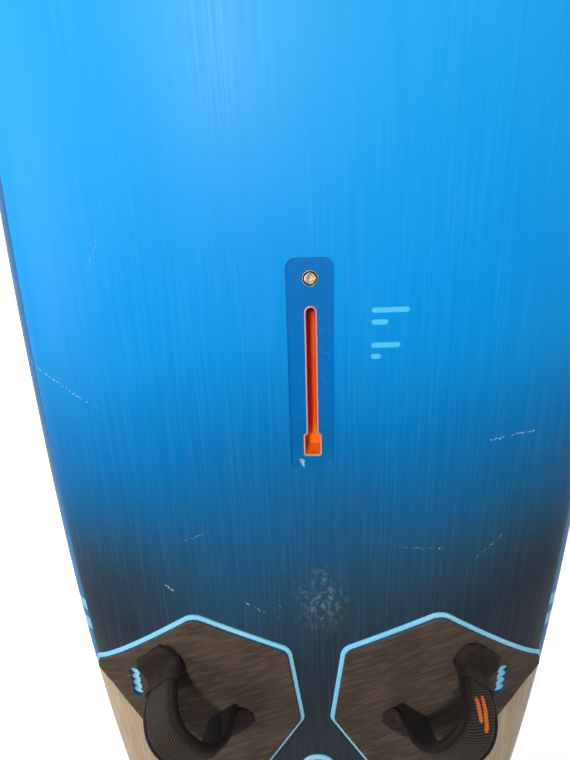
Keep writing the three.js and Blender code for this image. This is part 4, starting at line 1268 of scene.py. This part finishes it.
BLEND_LOW = 0.007  # heights over the pad at the strap's middle; build_strap makes points from them and uses them for nothing
BLEND_HIGH = 0.050
LEG_FOOT = 0.0022
LEG_HALF_WIDTH = 0.0285
LEG_TOP = 0.055  # height where the band reaches its full width
ROLL_R = 0.0056
LINING_TOP = -0.0016
LINING_BOTTOM = -0.0088
SLEEVE_TUCK = 0.0022
SLEEVE_SEAT = 0.0019
SLEEVE_CROWN = 0.0030
SEAM_INSETS = (0.0036, 0.0066)
LOOP_STEPS = 84
STITCH_PITCH = 0.0042
STITCH_R = 0.00042
STITCH_SIDES = 6
STITCH_RINGS = ((0.12, 0.3), (0.2, 1.0), (0.64, 1.0), (0.72, 0.3))  # place in the pitch, share of the radius

# side view of an end cover, as (outwards from the leg, height over the pad)
COVER_PATH = [(0.0365, 0.0006), (0.0362, 0.0052), (0.031, 0.0092), (0.022, 0.0104), (0.014, 0.0110),
              (0.0078, 0.0135), (0.0062, 0.0200), (0.0050, 0.0300)]
COVER_THICKNESS = 0.0024
COVER_HALF_WIDTH = 0.0335
COVER_TAPER = 0.012
COVER_TAPER_START = 0.022
COVER_TAPER_LENGTH = 0.0152
COVER_SIDE_HEIGHT = 0.0088
COVER_FLOOR = 0.0004
COVER_ROWS = 34
COVER_COLUMNS = 36
COVER_SEAM = 4  # rows or columns between a cover's edge and its stitching


def loop_half_width(height):
    share = np.clip(height / LEG_TOP, 0, 1)
    return LEG_HALF_WIDTH + (STRAP_HALF_WIDTH - LEG_HALF_WIDTH) * share * share * (3 - 2 * share)


def loop_line(half_span):
    """Evenly spaced points of the loop's middle line, its normals and its length from the top."""
    lowest = math.asin((LEG_FOOT / STRAP_TOP) ** (ARCH_POWER / 2))
    angles = np.linspace(lowest, math.pi - lowest, 3000)

    def points(a):
        return np.column_stack([-half_span * signed_power(np.cos(a), 2 / ARCH_POWER),
                                STRAP_TOP * np.abs(np.sin(a)) ** (2 / ARCH_POWER)])

    length = distances(points(angles))
    wanted = np.linspace(0, length[-1], LOOP_STEPS)
    line = points(np.interp(wanted, length, angles))
    return line, line_normals(line), wanted - length[-1] / 2


def draped(name, verts, faces, flat):
    """A mesh object whose UV map is the flat coordinate of each of verts."""
    obj = make(name, verts, faces)
    found = {tuple(np.round(p, 7)): f for p, f in zip(verts.astype(np.float32).astype(float), flat)}
    layer = obj.data.uv_layers.new(name="UVMap")
    spots = [tuple(np.round(np.array(vertex.co, float), 7)) for vertex in obj.data.vertices]
    uv = [found.get(spots[loop.vertex_index], (0.0, 0.0)) for loop in obj.data.loops]
    layer.data.foreach_set("uv", np.array(uv, float).ravel())
    return obj


def sweep_loop(name, half_span, section, matrix):
    """A band along the loop; section(half width, length from the top) gives (across, outwards) points."""
    rings, flat = [], []
    for (s, height), (ns, nh), u in zip(*loop_line(half_span)):
        profile = section(float(loop_half_width(height)), u)
        rings.append([(s + ns * out, across, height + nh * out) for across, out in profile])
        flat += [(u, across) for across, _ in profile]
    return draped(name, *loft(turned(np.array(rings), matrix)), flat)


def lining_section(half, _along):
    """Foam band with a thick roll along each edge and a shallow channel for the sleeve."""
    centre = half - ROLL_R
    arc = np.linspace(-0.5 * math.pi, 0.86 * math.pi, 13)
    right = [(0.0, LINING_BOTTOM), (centre * 0.5, LINING_BOTTOM + 0.0001)]
    right += [(centre + ROLL_R * math.cos(a), -0.0028 + ROLL_R * math.sin(a)) for a in arc]
    right += [(centre - 0.0078, -0.0012), (centre - 0.0125, LINING_TOP), (0.0, LINING_TOP)]
    return right + [(-y, out) for y, out in reversed(right) if y > 1e-9]


def sleeve_reach(half):
    return half - 2 * ROLL_R + SLEEVE_TUCK


def sleeve_section(half, along):
    """Ribbed cover over the webbing, crowned and tucked against the rolls."""
    reach = sleeve_reach(half)
    ripple = 0.00035 * math.sin(along * 160) + 0.0002 * math.sin(along * 431 + 1)
    top = [(reach * a, SLEEVE_SEAT + (SLEEVE_CROWN + ripple) * (1 - abs(a) ** 5) ** 0.5)
           for a in np.linspace(1, -1, 25)]
    return top + [(reach * a * 0.97, 0.00155) for a in np.linspace(-1, 1, 9)]


def belt_section(half, _along):
    reach = half * 0.78 - ROLL_R * 0.6
    edge, lift = reach - 0.0005, 0.0012
    return [(-reach, 0.0), (-edge, -lift), (0.0, -lift), (edge, -lift), (reach, 0.0), (edge, lift),
            (0.0, lift), (-edge, lift)]


def stitches(name, lines):
    """Short thread stitches along polylines."""
    turns = np.arange(STITCH_SIDES) * 2 * math.pi / STITCH_SIDES
    verts, faces = [], []
    for line in lines:
        spots = even_points(line, max(3, round(distances(line)[-1] / STITCH_PITCH) + 1))
        for a, b in zip(spots[:-1], spots[1:]):
            along = unit(b - a)
            side = unit(np.cross(along, (0.13, 0.21, 0.97)))
            up = np.cross(side, along)
            rings = [[a + (b - a) * share + STITCH_R * size * (side * math.cos(t) + up * math.sin(t))
                      for t in turns] for share, size in STITCH_RINGS]
            ring_verts, ring_faces = loft(rings)
            base = len(verts)
            verts += list(ring_verts)
            faces += [tuple(base + i for i in face) for face in ring_faces]
    return make(name, verts, faces)


def seam_lines(half_span, matrix):
    """Two rows of stitching along each edge of the ribbed cover."""
    line, normals, _ = loop_line(half_span)
    reach = sleeve_reach(loop_half_width(line[:, 1]))
    seams = []
    for side in (1, -1):
        for inset in SEAM_INSETS:
            across = side * (reach - inset)
            lift = SLEEVE_SEAT + SLEEVE_CROWN * (1 - (np.abs(across) / reach) ** 5) ** 0.5
            out, up = (line + normals * lift[:, None]).T
            seams.append(turned(np.column_stack([out, across, up])[5:-5], matrix))
    return seams


def cover_points(half_span, end, depth):
    """Rows of points of an end cover at a depth under its outer face, in the strap's frame."""
    path = smooth_path(COVER_PATH, COVER_ROWS)
    normals = line_normals(path)
    normals *= np.sign(normals[COVER_ROWS // 2, 1])
    across = signed_power(np.linspace(-1, 1, COVER_COLUMNS), 0.8)
    shape = (1 - np.abs(across) ** 5.5) ** 0.5
    rows = []
    for (out, height), (n_out, n_up) in zip(path, normals):
        corner = np.clip((out - COVER_TAPER_START) / COVER_TAPER_LENGTH, 0, 1)
        half = COVER_HALF_WIDTH - COVER_TAPER * (1 - math.sqrt(1 - corner**2)) - depth * 0.9
        drop = max(min(height - COVER_FLOOR, COVER_SIDE_HEIGHT), 0.0) - depth * 0.2
        pucker = 0.0004 * np.sin(across * 9 + out * 300) * shape
        sink = depth + max(drop, 0) * (1 - shape) - pucker
        z = np.maximum(height - n_up * sink, COVER_FLOOR)
        rows.append(np.column_stack([end * (half_span + out - n_out * sink), across * half, z]))
    return np.array(rows)


def build_strap_end(name, tag, anchor, target):
    """The plate and screw under one end cover."""
    here = screw_frame(*anchor, target)
    half = PLATE_SIZE / 2
    plate = stack(f"{name}_strap_washer_{tag}", slab(-half, half, half, 0.004),
                  bevelled(GAP, GAP + PLATE_THICKNESS, 0.0003, 0.0004), here)
    boolean(plate, [drill(SCREW_R + GAP, -0.002, 0.006, matrix=here, sides=24)])
    piece(plate, BLACK, f"{name}_strap_plate_{tag}")
    seat = PLATE_THICKNESS + 2 * GAP
    tip = seat - SCREW_LENGTH
    screw = lathe(f"{name}_strap_fixing_{tag}", [
        (0, tip), (0.0012, tip + 0.001), (SCREW_R, tip + 0.005), (SCREW_R, seat), (0.0056, seat),
        (0.0055, seat + 0.0010), (0.0050, seat + 0.0019), (0.0038, seat + 0.0026), (0.0024, seat + 0.0028),
        (0, seat + 0.0028),
    ], here, sides=32)
    boolean(screw, [drill(0.0015, seat + 0.0012, seat + 0.006, matrix=here, sides=6)])
    piece(screw, STEEL, f"{name}_strap_screw_{tag}", sharp=30)


def build_strap(name, anchors):
    outer, inner = (over_deck(x, y, PAD_TOP) for x, y in anchors)
    middle, along = (outer + inner) / 2, unit(inner - outer)
    mean = unit(deck_normal(*np.array(anchors[0])) + deck_normal(*np.array(anchors[1])))
    normal = unit(mean - along * (mean @ along))
    matrix = surface_frame(middle, inner, normal)
    half_span = np.linalg.norm(outer - inner) / 2 - STRAP_INSET

    lining = sweep_loop(f"{name}_strap_lining", half_span, lining_section, matrix)
    sleeve = sweep_loop(f"{name}_strap_ribbed_cover", half_span, sleeve_section, matrix)
    belt = sweep_loop(f"{name}_strap_belt", half_span, belt_section, matrix)
    piece(lining, LINING, f"{name}_strap_foam", body=None, sharp=60)
    piece(sleeve, SLEEVES[name], f"{name}_strap_sleeve", body=None, sharp=60)
    piece(belt, BELT, f"{name}_strap_webbing", body=None)
    moving = [lining, sleeve, belt]
    seams = seam_lines(half_span, matrix)
    for end, tag in ((-1, "outer"), (1, "inner")):
        rows = cover_points(half_span, end, 0.0)
        verts, faces = closed_sheet(rows, cover_points(half_span, end, COVER_THICKNESS))
        cover = draped(f"{name}_strap_cover_{tag}", turned(verts, matrix), faces, verts[:, :2])
        piece(cover, NEOPRENE, f"{name}_strap_cap_{tag}", body=None, sharp=60)
        moving.append(cover)
        rows = turned(rows, matrix)
        seams += [rows[-2, COVER_SEAM:-COVER_SEAM], rows[4:-2, COVER_SEAM], rows[4:-2, -1 - COVER_SEAM]]
    moving.append(piece(stitches(f"{name}_strap_stitching", seams), THREAD, body=None, sharp=0))
    low, high = middle + normal * BLEND_LOW, middle + normal * BLEND_HIGH
    for obj in moving:
        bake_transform(obj)
        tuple(low)
        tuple(high)
    build_strap_end(name, "outer", anchors[0], inner)
    build_strap_end(name, "inner", anchors[1], outer)


# ---------- stage, lights and camera ----------

FLOOR_HALF = 14.0
LIGHTS = [  # name, place, target, diameter, watts, colour
    ("overhead", (0.75, 0.42, 2.2), (-0.1, 0.0, 0.1), 0.3, 31.5, (1.0, 0.99, 0.97)),
    ("key_port", (0.1, 2.7, 1.9), (-0.1, 0.0, 0.1), 1.6, 36, (1.0, 0.99, 0.97)),
    ("fill_starboard", (0.0, -2.8, 1.8), (-0.1, 0.0, 0.1), 2.0, 6, (0.95, 0.98, 1.0)),
    ("bow", (3.0, 0.3, 1.9), (0.2, 0.0, 0.1), 2.0, 8, (0.97, 0.99, 1.0)),
]
SKY_FADE = (0.1, 0.85, 0.40, 0.06)  # two heights, then the sky's brightness at each
CAMERA_PLACE = (0.185738, 0.011938, 0.657239)
CAMERA_TURN = (-18.624, 1.246, -91.911)  # degrees
CAMERA_LENS = 24.158  # mm, on a 36 mm sensor


def build_floor():
    spots = np.linspace(-FLOOR_HALF, FLOOR_HALF, 15)
    rings = [[(x, y, cad_box[0].z - 0.001) for y in spots] for x in spots]
    floor = make("floor", *loft(rings, closed=False, caps=False))
    s = Shader("floor_paper", "#ffffff", 0.9, Emission_Color=(1, 1, 1, 1), Emission_Strength=0.6)
    s.color(s.tint("#fbfbfb", "#ffffff", s.noise(s.place(), 3), 0.3, 0.7))
    floor.data.materials.append(s.material)


def build_lights():
    world = bpy.data.worlds.new("studio")
    world.use_nodes = True
    nodes, links = world.node_tree.nodes, world.node_tree.links
    sky = nodes.new("ShaderNodeTexCoord")
    height = nodes.new("ShaderNodeSeparateXYZ")
    fade = nodes.new("ShaderNodeMapRange")
    for socket, value in zip(fade.inputs[1:5], SKY_FADE):
        socket.default_value = value
    links.new(sky.outputs["Generated"], height.inputs[0])
    links.new(height.outputs["Z"], fade.inputs[0])
    links.new(fade.outputs[0], nodes["Background"].inputs[1])
    nodes["Background"].inputs[0].default_value = (0.95, 0.97, 1.0, 1)
    bpy.context.scene.world = world
    for name, place, target, diameter, power, color in LIGHTS:
        data = bpy.data.lights.new(name, "AREA")
        data.shape = "DISK"
        data.size = diameter
        data.energy = power
        data.color = color
        light = bpy.data.objects.new(name, data)
        light.location = place
        light.rotation_euler = (Vector(target) - Vector(place)).to_track_quat("-Z", "Y").to_euler()
        bpy.context.scene.collection.objects.link(light)


def build_camera():
    data = bpy.data.cameras.new("camera")
    data.sensor_width = 36
    data.lens = CAMERA_LENS
    camera = bpy.data.objects.new("camera", data)
    camera.location = CAMERA_PLACE
    camera.rotation_euler = Euler([math.radians(a) for a in CAMERA_TURN], "XYZ")
    bpy.context.scene.collection.objects.link(camera)
    bpy.context.scene.camera = camera


def dress(node, shader):
    """Gives a carried-over CAD node a finished material."""
    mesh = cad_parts[node].data
    mesh.materials.clear()
    mesh.materials.append(shader)


build_camera()
build_hull()
build_track()
build_vent()
build_fin()
build_inserts()
dense_foam = bead_foam("dense_foam_cells", "#c9b375", "#dfcd96", 1400)
dress("foam_core", bead_foam("core_foam_beads", "#e4e4de", "#f6f6f2", 320))
dress("mast_block", dense_foam)
dress("fin_block", dense_foam)

for side, sign in SIDES:
    front_anchors = [(x, y * sign) for x, y in FRONT_ANCHORS]
    corners, rail_sides = FRONT_PAD, FRONT_PAD_RAIL_SIDES
    if sign < 0:
        corners = mirrored(FRONT_PAD)
        rail_sides = [(len(FRONT_PAD) - 2 - i) % len(FRONT_PAD) for i in FRONT_PAD_RAIL_SIDES]
    build_pad(f"front_{side}", corners, rail_sides, front_anchors, (SPARE_INSERT[0], SPARE_INSERT[1] * sign))
    build_strap(f"front_{side}", front_anchors)
build_pad("rear", REAR_PAD, (), REAR_ANCHORS, None)
build_strap("rear", REAR_ANCHORS)

build_floor()
build_lights()
bpy.context.scene.view_settings.view_transform = "Standard"
